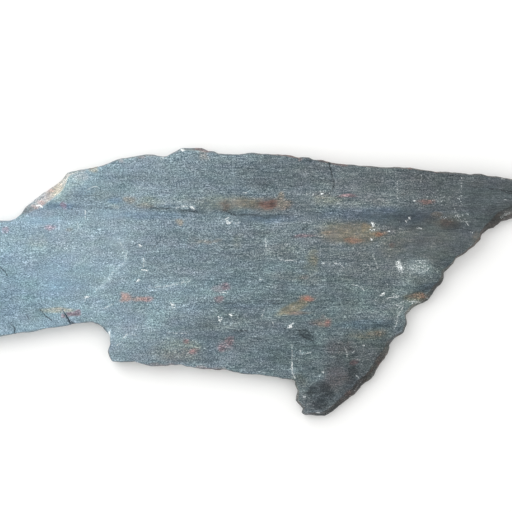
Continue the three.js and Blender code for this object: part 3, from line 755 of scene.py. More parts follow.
@dataclass(frozen=True)
class Strokes:
    """Crisp lines and chips finer than the mesh, light ones and dark ones, in slab millimetres.

    Attributes:
        search: How far from a point a stroke is looked for.
        aside: The side, in half widths, of a point that has no stroke so near.
    """

    search: float = 50.0
    aside: float = 9.0
    # painted highlight: the lines along the west edge of the lower point's ridge and along the broken edge
    # of the ledge are lit edges; the others are white chips and crumbs
    light: tuple[Streak, ...] = strokes(
        (0.8, 0.3, -228, 134, -223, 137, -218, 140, -212, 140),
        (1.5, 0.9, -302, 112, -298, 113, -294, 110), (0.8, 0.35, -229, 104, -229, 90),
        (0.8, 0.3, -241, 89, -240, 79), (1.1, 0.2, -178, 61, -172, 46, -168, 40, -167, 34, -170, 28),
        (1.0, 0.15, -170, 28, -188, 13, -196, 1, -212, -14), (1.0, 0.8, -148, 53, -146, 52),
        (0.8, 0.4, -142, 33, -142, 22), (0.9, 0.7, -144, 16, -141, 16), (1.0, 0.75, -152, -1, -150, 1),
        (1.1, 0.6, -228, -24, -225, -24), (1.5, 0.8, -86, 197, -83, 194), (1.1, 0.8, -69, 110, -67, 107),
        (0.9, 0.6, -82, 112, -78, 111), (0.9, 0.6, -19, 92, -16, 94), (1.0, 0.7, -17, 86, -13, 86),
        (1.1, 0.8, -30, -54, -29, -55), (1.0, 0.7, -29, -59, -28, -60), (1.1, 0.85, -13, -51, -11, -52),
        (1.0, 0.7, -101, -34, -99, -36), (1.0, 0.5, -25, -18, -18, -18), (1.2, 0.85, 124, 130, 125, 130),
        (1.1, 0.7, 199, 86, 201, 84), (1.1, 0.85, 198, 62, 199, 61), (1.1, 0.85, 255.5, 93.5, 256, 93),
        (0.9, 0.65, 250.3, 88.7, 250.7, 88.3), (0.9, 0.6, 269, 79, 272, 78), (1.0, 0.7, 224, 74, 225, 74),
        (1.0, 0.55, 262, 119, 263, 119), (1.1, 0.8, 215, -20, 217, -19), (1.0, 0.7, 72, -71, 77, -70),
        (1.0, 0.7, 78, -66, 81, -64), (1.0, 0.45, 125, -137, 127, -138), (0.9, 0.65, 98, -174, 99, -174),
        (1.0, 0.7, 118, -198, 120, -198), (0.9, 0.6, 186, -97, 187, -97),
        (1.0, 0.18, -133, -10, -114, -9, -96, -7), (1.0, 0.22, -96, -7, -86, -3, -74, -1),
        (0.8, 0.35, -200, -41, -188, -35), (0.9, 0.4, -172, -86, -167, -80),
        (0.9, 0.35, -181, -96, -175, -92), (0.9, 0.35, -158, -80, -152, -83),
        (0.7, 0.3, -106, -78, -79, -79), (1.2, 0.6, -193, -77, -193, -83), (0.9, 0.35, 32, 2, 37, 1),
        (0.8, 0.4, 40, 60, 41, 50), (0.8, 0.35, 59, 32, 70, 30, 79, 31, 86, 29),
        (0.9, 0.35, -92, 109, -83, 110), (0.9, 0.35, -4, 85, 2, 87), (0.9, 0.4, 8, 131, 13, 131),
        (0.9, 0.4, 202, 82, 208, 82), (0.9, 0.35, 340, 88, 343, 83),
        (0.9, 0.2, 321, 113, 327, 97, 333, 88), (0.8, 0.25, 273, 157, 272, 144),
        (0.8, 0.25, 237, 151, 237, 121), (0.8, 0.25, 333, 155, 333, 139), (0.9, 0.35, 398, 121, 402, 121),
        (0.9, 0.35, 394, 152, 396, 152), (0.9, 0.3, 240, 29, 243, 22, 244, 15),
        (0.9, 0.3, 201, 37, 206, 26, 207, 16), (0.9, 0.3, 188, 25, 194, 23, 197, 16),
        (0.9, 0.35, 170, -6, 182, -9, 188, -15), (0.9, 0.45, 221, -27, 227, -25, 236, -25),
        (0.9, 0.35, 231, -20, 242, -24), (0.9, 0.4, 246, -38, 243, -45, 238, -50),
        (0.9, 0.35, 238, -54, 237, -63, 233, -72), (0.9, 0.4, 243, -33, 250, -30, 258, -32),
        (1.1, 0.4, 260, -31, 272, -33), (0.9, 0.35, 281, -25, 284, -27),
        (0.9, 0.4, 126, 25, 131, 28, 136, 25), (0.9, 0.4, 143, 26, 152, 25, 156, 20),
        # painted highlight along the lit west edge of the lower point's ridge, in the first three strokes
        (0.8, 0.35, 80, -96, 80, -122), (1.0, 0.6, 80, -122, 80, -137), (0.9, 0.4, 81, -140, 84, -145),
        (0.8, 0.35, 92, -104, 92, -110, 101, -109, 108, -107),
        (0.8, 0.35, 159, -101, 162, -107, 162, -113), (0.8, 0.35, 171, -107, 176, -103),
        (0.8, 0.28, 174, -140, 180, -146, 183, -152), (0.8, 0.2, 183, -152, 179, -158, 173, -167),
        (0.9, 0.3, 38, -44, 34, -56), (0.8, 0.3, 51, -60, 52, -68),
    )
    # painted shadow: the lines along the foot of the ledge are its shadow; the others are hairline cracks
    # and dark lines
    dark: tuple[Streak, ...] = strokes(
        (1.0, 0.8, -358, 22, -350, 14, -346, 8), (0.9, 0.6, -344, 52, -341, 46),
        (0.8, 0.45, -319, 35, -316, 29), (1.2, 0.85, -297, -43, -289, -52, -280, -59),
        (0.9, 0.7, -317, -51, -313, -58), (1.4, 0.9, -340, -64, -334, -73, -335, -84),
        (1.5, 1.0, -263, -45, -258, -54, -255, -60, -250, -65), (3.0, 1.0, -256, -58, -246, -65),
        (0.8, 0.5, -259, 126, -208, 127), (0.9, 0.5, -247, 146, -238, 144),
        # painted shadow along the foot of the ledge, in most strokes of these four lines
        (1.0, 0.55, -250, 107, -242, 101), (1.2, 0.45, -208, 109, -190, 108),
        (1.5, 0.65, -130, 110, -121, 108, -109, 107, -103, 109),
        (1.3, 0.65, -85, 105, -73, 104, -62, 104), (0.9, 0.5, -130, 118, -121, 118),
        (1.1, 0.6, -23, 105, -16, 103, -8, 98, 17, 99, 35, 97), (0.8, 0.5, 116, 101, 134, 101),
        (0.9, 0.6, 96, 77, 105, 84), (0.9, 0.6, 161, 121, 170, 120), (0.9, 0.5, 152, 113, 161, 113),
        (1.1, 0.7, 243, 128, 248, 129), (1.1, 0.8, 287, 109, 291, 108),
        (0.9, 0.5, 321, 79, 336, 77, 347, 75), (1.3, 1.0, 376, 137, 388, 136, 401, 134, 412, 132),
        (0.8, 0.45, 350, 140, 372, 139), (0.9, 0.45, 152, -32, 167, -32), (0.9, 0.5, 107, -65, 122, -63),
        (0.9, 0.5, 161, -62, 168, -62), (1.4, 0.65, 90, -74, 93, -81, 102, -87, 113, -90),
        (1.1, 0.45, 96, -74, 106, -77), (1.0, 0.75, -7, -75, 14, -75),
        (0.9, 0.6, -25, -33, -17, -34, -4, -34), (1.0, 0.6, 42, -30, 50, -34, 62, -35),
        (0.9, 0.5, 44, -30, 60, -30), (0.9, 0.45, -58, -68, -40, -68), (0.9, 0.55, 53, -68, 71, -72),
        (1.3, 1.0, 133, 186, 137, 170, 140, 155, 143, 143, 139, 134, 130, 129),
        (0.9, 0.45, 163, -88, 164, -106, 167, -124), (0.9, 0.5, -127, 50, -119, 58),
        (0.9, 0.4, 110, 150, 136, 149), (0.9, 0.4, 60, 140, 96, 142), (0.8, 0.4, 20, 143, 48, 145),
        (0.9, 0.4, 176, -44, 186, -44), (0.9, 0.4, 150, -72, 166, -72), (0.9, 0.4, 374, 110, 386, 108),
        (0.8, 0.35, 250, 60, 300, 58), (0.8, 0.35, 20, 70, 52, 72), (0.8, 0.35, 120, 14, 146, 12),
        (0.8, 0.35, 60, -6, 88, -8), (0.8, 0.35, 96, -98, 128, -99), (0.8, 0.35, 130, -106, 156, -104),
        (0.8, 0.35, 330, 148, 356, 144), (1.2, 0.6, 312, 158, 330, 156), (1.0, 0.5, 352, 152, 366, 151),
    )

    def near(self, x: Array, y: Array) -> dict[Line, Array]:
        """Finds the nearest stroke to each point, where one lies within the search.

        Each stroke is taken stretch by stretch. How far a point lies to one side of a straight
        stretch changes evenly over the mesh, so a line far thinner than its cells stays sharp.

        Args:
            x: Places along the grain, in slab millimetres.
            y: Places across it.

        Returns:
            The side, in half widths of the stroke, its distance, and its strength, dark ones below 0.
        """
        reach, side = np.full(x.shape, self.search), np.full(x.shape, self.aside)
        tone = np.zeros(x.shape)
        for sign, group in ((1.0, self.light), (-1.0, self.dark)):
            for stroke in group:
                for (ax, ay), (bx, by) in zip(stroke.path, stroke.path[1:]):
                    dx, dy, px, py = bx - ax, by - ay, x - ax, y - ay
                    t = np.clip((px * dx + py * dy) / (dx * dx + dy * dy), 0.0, 1.0)
                    far = np.hypot(px - t * dx, py - t * dy)
                    nearer = far < reach
                    reach = np.where(nearer, far, reach)
                    across = (px * dy - py * dx) / np.hypot(dx, dy) / stroke.width
                    side = np.where(nearer, across, side)
                    tone = np.where(nearer, sign * stroke.strength, tone)
        return {Line.SIDE: side, Line.REACH: reach, Line.TONE: tone}


class MeshParts:
    """Points and faces gathered patch by patch, with each corner's place on the texture."""

    def __init__(self) -> None:
        """Starts with nothing."""
        self.points: list[Array] = []
        self.corners: list[Array] = []
        self.texture: list[Array] = []
        self.count = 0

    def add(self, points: Array) -> Array:
        """Adds points.

        Args:
            points: Coordinates, the last axis of length three.

        Returns:
            The points' numbers, in the shape of the other axes.
        """
        shape = points.shape[:-1]
        flat = points.reshape(-1, 3)
        self.points.append(flat)
        self.count += len(flat)
        return np.arange(self.count - len(flat), self.count).reshape(shape)

    def polygons(self, index: Array, uv: Array) -> None:
        """Adds faces of one number of corners, given as the points' numbers and texture places."""
        self.corners.append(index)
        self.texture.append(uv)

    def grid(self, index: Array, uv: Array) -> None:
        """Adds the four-sided cells of a grid whose second axis lies anticlockwise of its first."""
        def cells(a: Array) -> Array:
            """Gives the four corners of each cell."""
            around = [a[:-1, :-1], a[1:, :-1], a[1:, 1:], a[:-1, 1:]]
            return np.stack([part.reshape(-1, *a.shape[2:]) for part in around], axis=1)
        self.polygons(cells(index), cells(uv))

    def to_mesh(self, name: str, place: Array) -> bpy.types.Mesh:
        """Makes the Blender mesh.

        Args:
            name: The mesh's name.
            place: Every point in its final place, in metres, shaped (points, 3).

        Returns:
            The mesh, with a texture map for baking.
        """
        mesh = bpy.data.meshes.new(name)
        sizes = np.concatenate([np.full(len(part), part.shape[1]) for part in self.corners])
        corners = np.concatenate([part.ravel() for part in self.corners])
        mesh.vertices.add(len(place))
        mesh.vertices.foreach_set("co", place.astype(np.float32).ravel())
        mesh.loops.add(len(corners))
        mesh.loops.foreach_set("vertex_index", corners.astype(np.int32))
        mesh.polygons.add(len(sizes))
        starts = np.concatenate([[0], np.cumsum(sizes)[:-1]])
        mesh.polygons.foreach_set("loop_start", starts.astype(np.int32))
        mesh.update(calc_edges=True)
        texture = np.concatenate([part.reshape(-1, 2) for part in self.texture])
        layer = mesh.uv_layers.new(name="OFBake")
        layer.uv.foreach_set("vector", texture.astype(np.float32).ravel())
        return mesh


def set_attribute(mesh: bpy.types.Mesh, name: str, values: Array) -> None:
    """Stores one number a point on a mesh, under a name that the shader reads."""
    layer = mesh.attributes.get(name) or mesh.attributes.new(name, "FLOAT", "POINT")
    layer.data.foreach_set("value", values.astype(np.float32).ravel())


@dataclass(frozen=True)
class Placement:
    """Where the slab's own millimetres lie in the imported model's frame."""

    shift: Array

    @classmethod
    def fitting(cls, points: Array) -> "Placement":
        """Finds the shift that puts the middle of the points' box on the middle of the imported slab's."""
        low, high = (np.array(corner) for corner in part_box(NODE))
        shift = (low + high) / 2 - (points.min(axis=0) + points.max(axis=0)) / 2 * MM
        shift[2] = low[2]
        return cls(shift)

    def apply(self, points: Array) -> Array:
        """Gives slab millimetres as metres in the frame."""
        return points * MM + self.shift


@dataclass
class Flagstone:
    """The stone: its closed surface on a grid, its cracks and its marks.

    Attributes:
        columns: Cells of the face along the grain.
        rows: Cells across it.
        foot_row: The row of points on the foot of the ledge.
        face_rows: Rows of cells on the ledge's own slope.
        fade_columns: Columns at either end over which the rows leave the ledge.
        reach: How many neighbours each side share a direction into the slab.
        leaves: Thin leaves shown in each stratum of the break.
        leaf_ends: Where the two rings of a leaf lie, as shares of it.
        leaf_jitter: How far a leaf stands in or out by noise, in millimetres.
        leaf_tilt: How far it rises or falls along the edge, as a share of the height.
        ledge_between: The shares of a cross line between which the ledge's foot is looked for.
        halvings: How often that stretch is halved.
        under_step: Points of the outline to each cell of the underside.
        hollow_depth: The depth of the hollows in the underside, in millimetres.
        fan_width: From the rim of the bed to the underside's grid, in millimetres.
        crack_step: The length of the steps in which a crack is walked, in millimetres.
        sharp_angle: The bend, in degrees, from which an edge is shaded as sharp.
        placement: Where the slab lies in the frame, known once the surface is worked out.
    """

    shape: SlabShape = field(default_factory=SlabShape)
    relief: Relief = field(default_factory=Relief)
    marks: Marks = field(default_factory=Marks)
    strokes: Strokes = field(default_factory=Strokes)
    columns: int = 408
    rows: int = 172
    foot_row: int = 122
    face_rows: int = 4
    fade_columns: int = 43
    reach: int = 13
    leaves: int = 2
    leaf_ends: tuple[float, float] = (0.06, 0.94)
    leaf_jitter: float = 0.75
    leaf_tilt: float = 0.02
    ledge_between: tuple[float, float] = (0.45, 0.93)
    halvings: int = 20
    under_step: int = 4
    hollow_depth: float = 1.6
    fan_width: float = 3.0
    crack_step: float = 2.5
    sharp_angle: float = 38.0
    placement: Placement | None = field(default=None, init=False)

    def inward(self, loop: Array) -> Array:
        """Gives the direction into the slab at each point of the outline.

        It is square to the line through the point's neighbours, averaged over a stretch each side.
        """
        along = np.roll(loop[:, :2], -1, axis=0) - np.roll(loop[:, :2], 1, axis=0)
        square = np.stack([-along[:, 1], along[:, 0]], axis=1)
        square /= np.linalg.norm(square, axis=1, keepdims=True)
        mean = sum(np.roll(square, k, axis=0) for k in range(-self.reach, self.reach + 1))
        return mean / np.linalg.norm(mean, axis=1, keepdims=True)

    def outline(self) -> tuple[Array, Array]:
        """Works out the ragged outline, anticlockwise from the south-west corner.

        It is most ragged along the right edge, below the pointed corner.

        Returns:
            The outline's points as x, y and run, and the directions into the slab.
        """
        shape = self.shape
        drawn = (shape.lower_edge, shape.right_edge, shape.upper_edge, shape.left_edge)
        steps = (self.columns, self.rows, self.columns, self.rows)
        south, east, north, west = (divide(np.array(edge, float), n) for edge, n in zip(drawn, steps))
        loop = np.concatenate([south[:-1], east[:-1], north[:0:-1], west[:0:-1]])
        inward = self.inward(loop)
        x, y, _ = loop.T
        rugged = shape.wander_share * shape.ruggedness * shape.wander(x, y, 0)
        eastern = ease((x - 150) / 60) * ease((130 - y) / 30)
        jagged = sum((jag.inset(x, y, eastern) for jag in shape.jags), start=-shape.jag_mean)
        loop[:, :2] += inward * (rugged + jagged)[:, None]
        return loop, inward

    def ruled(self, sides: tuple[Array, ...], shares: Array) -> Array:
        """Spans the space between two long edges by straight cross lines, bent near the two ends.

        A cross line runs from a point of the south edge to the same point of the north edge. Near
        either end it takes on the bend of that end, by the eighth power of how near it is.

        Args:
            sides: The south, north, west and east edges, each as x and y.
            shares: How far along its cross line each point lies, shaped (columns + 1, points).

        Returns:
            The points, shaped (columns + 1, points, 2).
        """
        south, north, west, east = sides
        place = np.linspace(0.0, 1.0, len(south))[:, None, None]
        t = shares[..., None]

        def bend(side: Array) -> Array:
            """Gives how far an end lies from the straight line between its corners."""
            steps = shares * (len(side) - 1)
            on_side = np.stack([np.interp(steps, np.arange(len(side)), axis) for axis in side.T], axis=-1)
            return on_side - side[0] - t * (side[-1] - side[0])

        straight = south[:, None] + t * (north - south)[:, None]
        return straight + (1 - place) ** 8 * bend(west) + place**8 * bend(east)

    def shares(self, sides: tuple[Array, ...]) -> Array:
        """Places the rows on each cross line so that some of them hold the slope of the ledge.

        The foot of the ledge is found on each line by halving. The rows are evenly spread at the
        two broken ends, and eased from there to the ledge.

        Args:
            sides: The south, north, west and east edges of the face.

        Returns:
            The share of its cross line for each row of each column.
        """
        south, north = sides[0], sides[1]
        low, high = (np.full(len(south), share) for share in self.ledge_between)
        for _ in range(self.halvings):
            middle = (low + high) / 2
            x, y = self.ruled(sides, middle[:, None])[:, 0].T
            under = y < self.shape.ledge_foot(x)
            low, high = np.where(under, middle, low), np.where(under, high, middle)
        width = np.hypot(*(north - south).T)
        column = np.arange(len(south))
        follow = ease(np.minimum(column, self.columns - column) / self.fade_columns)
        even_foot, even_face = self.foot_row / self.rows, self.face_rows / self.rows
        foot = even_foot + follow * ((low + high) / 2 - even_foot)
        face = even_face + follow * (self.shape.ledge_breadth(south[:, 0]) / width - even_face)
        crest = np.minimum(foot + face, foot + 0.5 * (1 - foot))
        row = np.arange(self.rows + 1)
        knots = [0, self.foot_row, self.foot_row + self.face_rows, self.rows]
        values = np.stack([0 * foot, foot, crest, 0 * foot + 1], axis=1)
        return np.stack([np.interp(row, knots, line) for line in values])

    def sides(self, ring: Array, step: int = 1) -> tuple[Array, ...]:
        """Parts a ring of points, taken every so many, into south, north, west and east edges."""
        ring = ring[::step]
        columns, rows = self.columns // step, self.rows // step
        closed = np.concatenate([ring, ring[:1]])
        south = closed[: columns + 1]
        east = closed[columns : columns + rows + 1]
        north = closed[columns + rows : 2 * columns + rows + 1][::-1]
        west = closed[2 * columns + rows :][::-1]
        return south, north, west, east

    def around(self, grid: Array) -> Array:
        """Gives the rim of a grid of point numbers as a ring, in the order of the outline."""
        return np.concatenate([grid[:-1, 0], grid[-1, :-1], grid[:0:-1, -1], grid[0, :0:-1]])

    def break_rings(self, loop: Array, inward: Array, edge: Array) -> list[Array]:
        """Works out the broken edge from the face's arris down to the rim of the bed.

        Each stratum is cut into leaves. A leaf is two rings with the same noise, a little in or
        out of its neighbours, at shares of the face's height and of the run.

        Args:
            loop: The outline, as x, y and run.
            inward: Directions into the slab.
            edge: The arris, as x and y.

        Returns:
            The rings, each shaped (outline, 3), without the arris itself.
        """
        shape = self.shape
        x, y, run = loop.T
        top = shape.face_height(*edge.T)
        rings = []

        def put(inset: Array, height: Array) -> None:
            """Adds a ring that far in and that high."""
            rings.append(np.column_stack([loop[:, :2] + inward * inset[:, None], height]))

        for k, stratum in enumerate(shape.strata):
            for leaf in range(self.leaves):
                seed = 100 + 20 * k + 5 * leaf
                jitter = self.leaf_jitter * fractal(x, y, 26, 26, seed, octaves=4)
                tilt = self.leaf_tilt * fractal(x, y, 70, 70, seed + 400, octaves=2)
                for end in self.leaf_ends:
                    if k + leaf == 0 and end < 0.5:
                        continue
                    t = (leaf + end) / self.leaves
                    share = stratum.inner + t * (stratum.outer - stratum.inner)
                    height = stratum.top + t * (stratum.bottom - stratum.top) + tilt
                    standing = 0.5 * stratum.rough * shape.wander(x, y, 2 * k + 1)
                    put(run * share + standing + jitter, height * top)
        ragged = 0.8 * fractal(x, y, 12, 12, seed=171, octaves=3)
        put(0.5 * shape.foot_inset + ragged, 0.26 * top)
        foot = shape.foot_inset + 0.5 * shape.wander(x, y, 9) + 0.6 * ragged
        put(foot, shape.foot_height + 1.5 * shape.wander(x / 3, y / 3, 4) + 0.5 * ragged)
        bed = shape.bed_rim(x, y)
        middle = (foot + bed) / 2
        put(middle + 1.2 * ragged, 0.35 * shape.foot_height + 0.5 * ragged)
        put(bed + ragged, 0.0 * x)
        return rings

    def under_face(self, parts: MeshParts, bed_ring: Array, loop: Array, inward: Array) -> None:
        """Adds the underside: a coarser grid inside the rim of the bed, joined to it by a fan.

        Its height is noise drawn out along the grain where that is above its mean, so that the
        low parts lie flat on the ground and shallow hollows are left between them.
        """
        shape, step = self.shape, self.under_step
        x, y, _ = loop.T
        bed = shape.bed_rim(x, y)
        inner = loop[:, :2] + inward * (bed + self.fan_width)[:, None]
        sides = self.sides(inner, step)
        even = np.tile(np.linspace(0, 1, self.rows // step + 1), (self.columns // step + 1, 1))
        place = self.ruled(sides, even)
        high = fractal(place[..., 0], place[..., 1], 120, 40, seed=83, octaves=4)
        hollow = self.hollow_depth * ease(1.5 * high)
        grid = parts.add(np.concatenate([place, hollow[..., None]], axis=-1))
        parts.grid(grid.T, self.flat_uv(place, UNDER_BAND).transpose(1, 0, 2))
        rim = self.around(grid)
        rim_uv = self.flat_uv(inner[::step], UNDER_BAND)
        ring_uv = self.flat_uv(loop[:, :2] + inward * bed[:, None], UNDER_BAND)
        start = np.arange(len(rim)) * step
        following = np.roll(np.arange(len(rim)), -1)
        half = step // 2
        for k in range(step):
            near = np.arange(len(rim)) if k < half else following
            here, after = start + k, (start + k + 1) % len(bed_ring)
            index = np.stack([bed_ring[here], rim[near], bed_ring[after]], axis=1)
            parts.polygons(index, np.stack([ring_uv[here], rim_uv[near], ring_uv[after]], axis=1))
        index = np.stack([bed_ring[start + half], rim, rim[following]], axis=1)
        parts.polygons(index, np.stack([ring_uv[start + half], rim_uv, rim_uv[following]], axis=1))

    def flat_uv(self, place: Array, band: tuple[float, float]) -> Array:
        """Lays points on the texture as seen from above, in a band between two heights of it."""
        low, high = band
        half_length, half_width = 475.0, 225.0
        u = place[..., 0] / (2 * half_length) + 0.5
        v = place[..., 1] / (2 * half_width) + 0.5
        return np.stack([u, low + (high - low) * v], axis=-1)

    def break_faces(self, parts: MeshParts, rings: Array) -> None:
        """Adds the faces of the broken edge, unrolled on the texture as strips one above another."""
        strips, low, height = 3, 0.24, 0.055
        count, total = rings.shape
        closed = np.concatenate([rings, rings[:, :1]], axis=1)
        down = np.linspace(1, 0, count)[:, None]
        for k in range(strips):
            first, last = k * total // strips, (k + 1) * total // strips
            u = np.linspace(0.01, 0.99, last - first + 1)[None, :] + 0 * down
            v = low + height * (k + 0.04 + 0.92 * down) + 0 * u
            parts.grid(closed[:, first : last + 1], np.stack([u, v], axis=-1))

    def surface(self) -> bpy.types.Mesh:
        """Builds the uncut stone.

        Returns:
            Its closed mesh, with the attributes that place its break, its arris and its tints.
        """
        loop, inward = self.outline()
        arris = loop[:, :2] + inward * loop[:, 2:]
        sides = self.sides(arris)
        place = self.ruled(sides, self.shares(sides))
        x, y = place[..., 0], place[..., 1]
        borders = (place[:, :1], place[:, -1:], place[:1], place[-1:])
        to_edge = np.min([np.hypot(*np.moveaxis(place - side, -1, 0)) for side in borders], axis=0)
        height = self.shape.face_height(x, y) + self.relief.height(self.shape, x, y, to_edge)

        parts = MeshParts()
        grid = parts.add(np.concatenate([place, height[..., None]], axis=-1))
        parts.grid(grid, self.flat_uv(place, FACE_BAND))
        rings = [self.around(grid)]
        rings += [parts.add(ring) for ring in self.break_rings(loop, inward, arris)]
        self.break_faces(parts, np.stack(rings))
        self.under_face(parts, rings[-1], loop, inward)

        points = np.concatenate(parts.points)
        self.placement = Placement.fitting(points)
        mesh = parts.to_mesh(NODE + "_stone", self.placement.apply(points))
        broken, worn = np.ones(parts.count), np.zeros(parts.count)
        broken[grid], worn[grid] = 0.0, np.exp(-to_edge / 2.5)
        broken[rings[1]], worn[rings[1]] = 0.4, 0.7
        broken[rings[2]] = 0.75
        set_attribute(mesh, Part.BREAK.value, broken)
        set_attribute(mesh, Part.ARRIS.value, worn)
        set_attribute(mesh, Part.CRACK.value, 0 * broken)
        x, y = points[:, 0], points[:, 1]
        for name, values in (self.marks.masks(x, y) | self.strokes.near(x, y)).items():
            set_attribute(mesh, name.value, values)
        return mesh

    def cutter(self, crack: Crack, seed: int) -> tuple[Array, list[tuple[int, ...]]]:
        """Builds the wedge that opens a crack.

        The path is walked in short steps, each point pushed a little aside by noise. The wedge is
        widest and deepest at the mouth and thins out to nothing at the far end.

        Args:
            crack: The crack.
            seed: Which noise roughens its path.

        Returns:
            The wedge's points in slab millimetres, and its faces.
        """
        drawn = np.array(crack.path, float)
        length = run_along(drawn)[-1]
        count = max(6, int(length / self.crack_step))
        at = np.linspace(0.0, length, count)
        path = divide(drawn, count - 1)
        along = np.gradient(path, axis=0)
        aside = np.stack([-along[:, 1], along[:, 0]], axis=1)
        aside /= np.linalg.norm(aside, axis=1, keepdims=True)
        path += aside * (1.5 * fractal(at, 0 * at, 7, 7, seed, octaves=2))[:, None]
        share = 1.0 - 0.92 * at / length
        uneven = 1.0 + 0.5 * fractal(at, 0 * at, 9, 9, seed + 5, octaves=2)
        half = 0.5 * crack.width * share * uneven
        face = self.shape.face_height(*path.T)
        deep = crack.depth * share
        high, low = face + deep + 2.0, face - deep
        wide = (half * (high - low) / deep)[:, None]
        left = np.column_stack([path + aside * wide, high])
        right = np.column_stack([path - aside * wide, high])
        root = np.column_stack([path, low])
        points = np.stack([left, root, right], axis=1).reshape(-1, 3)
        i, pairs = np.arange(count - 1) * 3, ((0, 1), (1, 2), (2, 0))
        walls = [np.stack([i + b, i + a, i + 3 + a, i + 3 + b], axis=1) for a, b in pairs]
        faces = [tuple(row) for row in np.concatenate(walls).tolist()]
        end = 3 * (count - 1)
        return points, faces + [(0, 1, 2), (end + 2, end + 1, end)]

    def cut_cracks(self, stone: bpy.types.Object) -> None:
        """Cuts the cracks into the stone, one after another, and keeps the result as its mesh."""
        for seed, crack in enumerate(self.shape.cracks):
            points, faces = self.cutter(crack, 90 + 7 * seed)
            mesh = bpy.data.meshes.new("wedge")
            mesh.from_pydata(self.placement.apply(points).tolist(), [], faces)
            set_attribute(mesh, Part.CRACK.value, np.ones(len(points)))
            wedge = new_object("wedge", mesh)
            cut = stone.modifiers.new("crack", "BOOLEAN")
            cut.operation = "DIFFERENCE"
            cut.solver = "EXACT"
            cut.object = wedge
            bpy.context.view_layer.update()
            evaluated = stone.evaluated_get(bpy.context.evaluated_depsgraph_get())
            result = bpy.data.meshes.new_from_object(evaluated)
            stone.modifiers.clear()
            old, stone.data = stone.data, result
            bpy.data.meshes.remove(old)
            bpy.data.objects.remove(wedge)
            bpy.data.meshes.remove(mesh)

    def build(self, slate: "Slate") -> bpy.types.Object:
        """Builds the stone as one object at the origin, cracked and shaded, and dresses it.

        Args:
            slate: Its finish.

        Returns:
            The finished piece.
        """
        stone = new_object(NODE + "_stone", self.surface())
        self.cut_cracks(stone)
        stone.data.shade_smooth()
        stone.data.set_sharp_from_angle(angle=np.radians(self.sharp_angle))
        stone.data.materials.clear()
        stone.data.materials.append(slate.material(self.placement))
        return stone


class Graph:
    """Adds nodes to one tree and joins them as it goes. Plain numbers and colours are set."""

    def __init__(self, tree: bpy.types.NodeTree) -> None:
        """Starts on a tree."""
        self.tree = tree

    def feed(self, node: Node, inputs: dict[str | int, Value]) -> Node:
        """Joins or sets a node's sockets, given by name or number."""
        for name, value in inputs.items():
            if isinstance(value, bpy.types.NodeSocket):
                self.tree.links.new(value, node.inputs[name])
            else:
                node.inputs[name].default_value = value
        return node

    def add(self, kind: str, inputs: dict[str | int, Value] | None = None, **settings: object) -> Node:
        """Adds a node.

        Args:
            kind: Its Blender type.
            inputs: What goes into its sockets, by name or number.
            settings: Its other properties.

        Returns:
            The node.
        """
        node = self.tree.nodes.new(kind)
        for name, value in settings.items():
            setattr(node, name, value)
        return self.feed(node, inputs or {})

    def group(self, tree: bpy.types.NodeTree, inputs: dict[str, Value]) -> Socket:
        """Places a node group with its own values, and gives its first output."""
        node = self.tree.nodes.new("ShaderNodeGroup")
        node.node_tree = tree
        return self.feed(node, inputs).outputs[0]

    def math(self, operation: str, a: Value, b: Value = 0.0, clamped: bool = False) -> Socket:
        """Gives the result of a sum on two numbers."""
        return self.add("ShaderNodeMath", {0: a, 1: b}, operation=operation, use_clamp=clamped).outputs[0]

    def product(self, *values: Value) -> Socket:
        """Gives the product of several numbers."""
        total = values[0]
        for value in values[1:]:
            total = self.math("MULTIPLY", total, value)
        return total

    def vector(self, operation: str, a: Value, b: Value) -> Socket:
        """Gives the result of a sum on two vectors."""
        return self.add("ShaderNodeVectorMath", {0: a, 1: b}, operation=operation).outputs[0]

    def axis(self, place: Socket, number: int) -> Socket:
        """Gives one coordinate of a place."""
        return self.add("ShaderNodeSeparateXYZ", {0: place}).outputs[number]

    def blend(self, share: Value, under: Value, over: Value, kind: str = "MIX") -> Socket:
        """Gives one colour laid over another by a share from 0 to 1."""
        inputs = {0: share, 6: under, 7: over}
        return self.add("ShaderNodeMix", inputs, data_type="RGBA", blend_type=kind).outputs[2]

    def times(self, colour: Value, factor: Value) -> Socket:
        """Gives a colour multiplied by another, or by a number."""
        return self.blend(1.0, colour, factor, "MULTIPLY")

    def spread(self, value: Value, low: float, high: float, start: float = 0.0, end: float = 1.0) -> Socket:
        """Gives a value eased from one range into another, and held at its ends."""
        inputs = {0: value, 1: low, 2: high, 3: start, 4: end}
        return self.add("ShaderNodeMapRange", inputs, interpolation_type="SMOOTHSTEP").outputs[0]

    def scaled(self, place: Value, length: Value, width: Value) -> Socket:
        """Gives a place in steps of a length along the grain and of a width the other two ways."""
        size = self.add("ShaderNodeCombineXYZ", {0: length, 1: width, 2: width}).outputs[0]
        return self.vector("DIVIDE", place, size)

    def noise(self, place: Value, detail: float = 2.0, roughness: float = 0.55) -> Socket:
        """Gives a noise whose features are about one unit across, from 0 to 1."""
        inputs = {"Vector": place, "Scale": 1.0, "Detail": detail, "Roughness": roughness}
        return self.add("ShaderNodeTexNoise", inputs).outputs[0]

    def swing(self, place: Value, detail: float = 2.0, roughness: float = 0.55) -> Socket:
        """Gives a noise that mostly lies within 1 either side of 0."""
        above = self.math("SUBTRACT", self.noise(place, detail, roughness), 0.5)
        return self.math("MULTIPLY", above, 7.0)

    def attribute(self, name: str) -> Socket:
        """Gives a number kept on the mesh."""
        return self.add("ShaderNodeAttribute", attribute_name=name).outputs["Fac"]


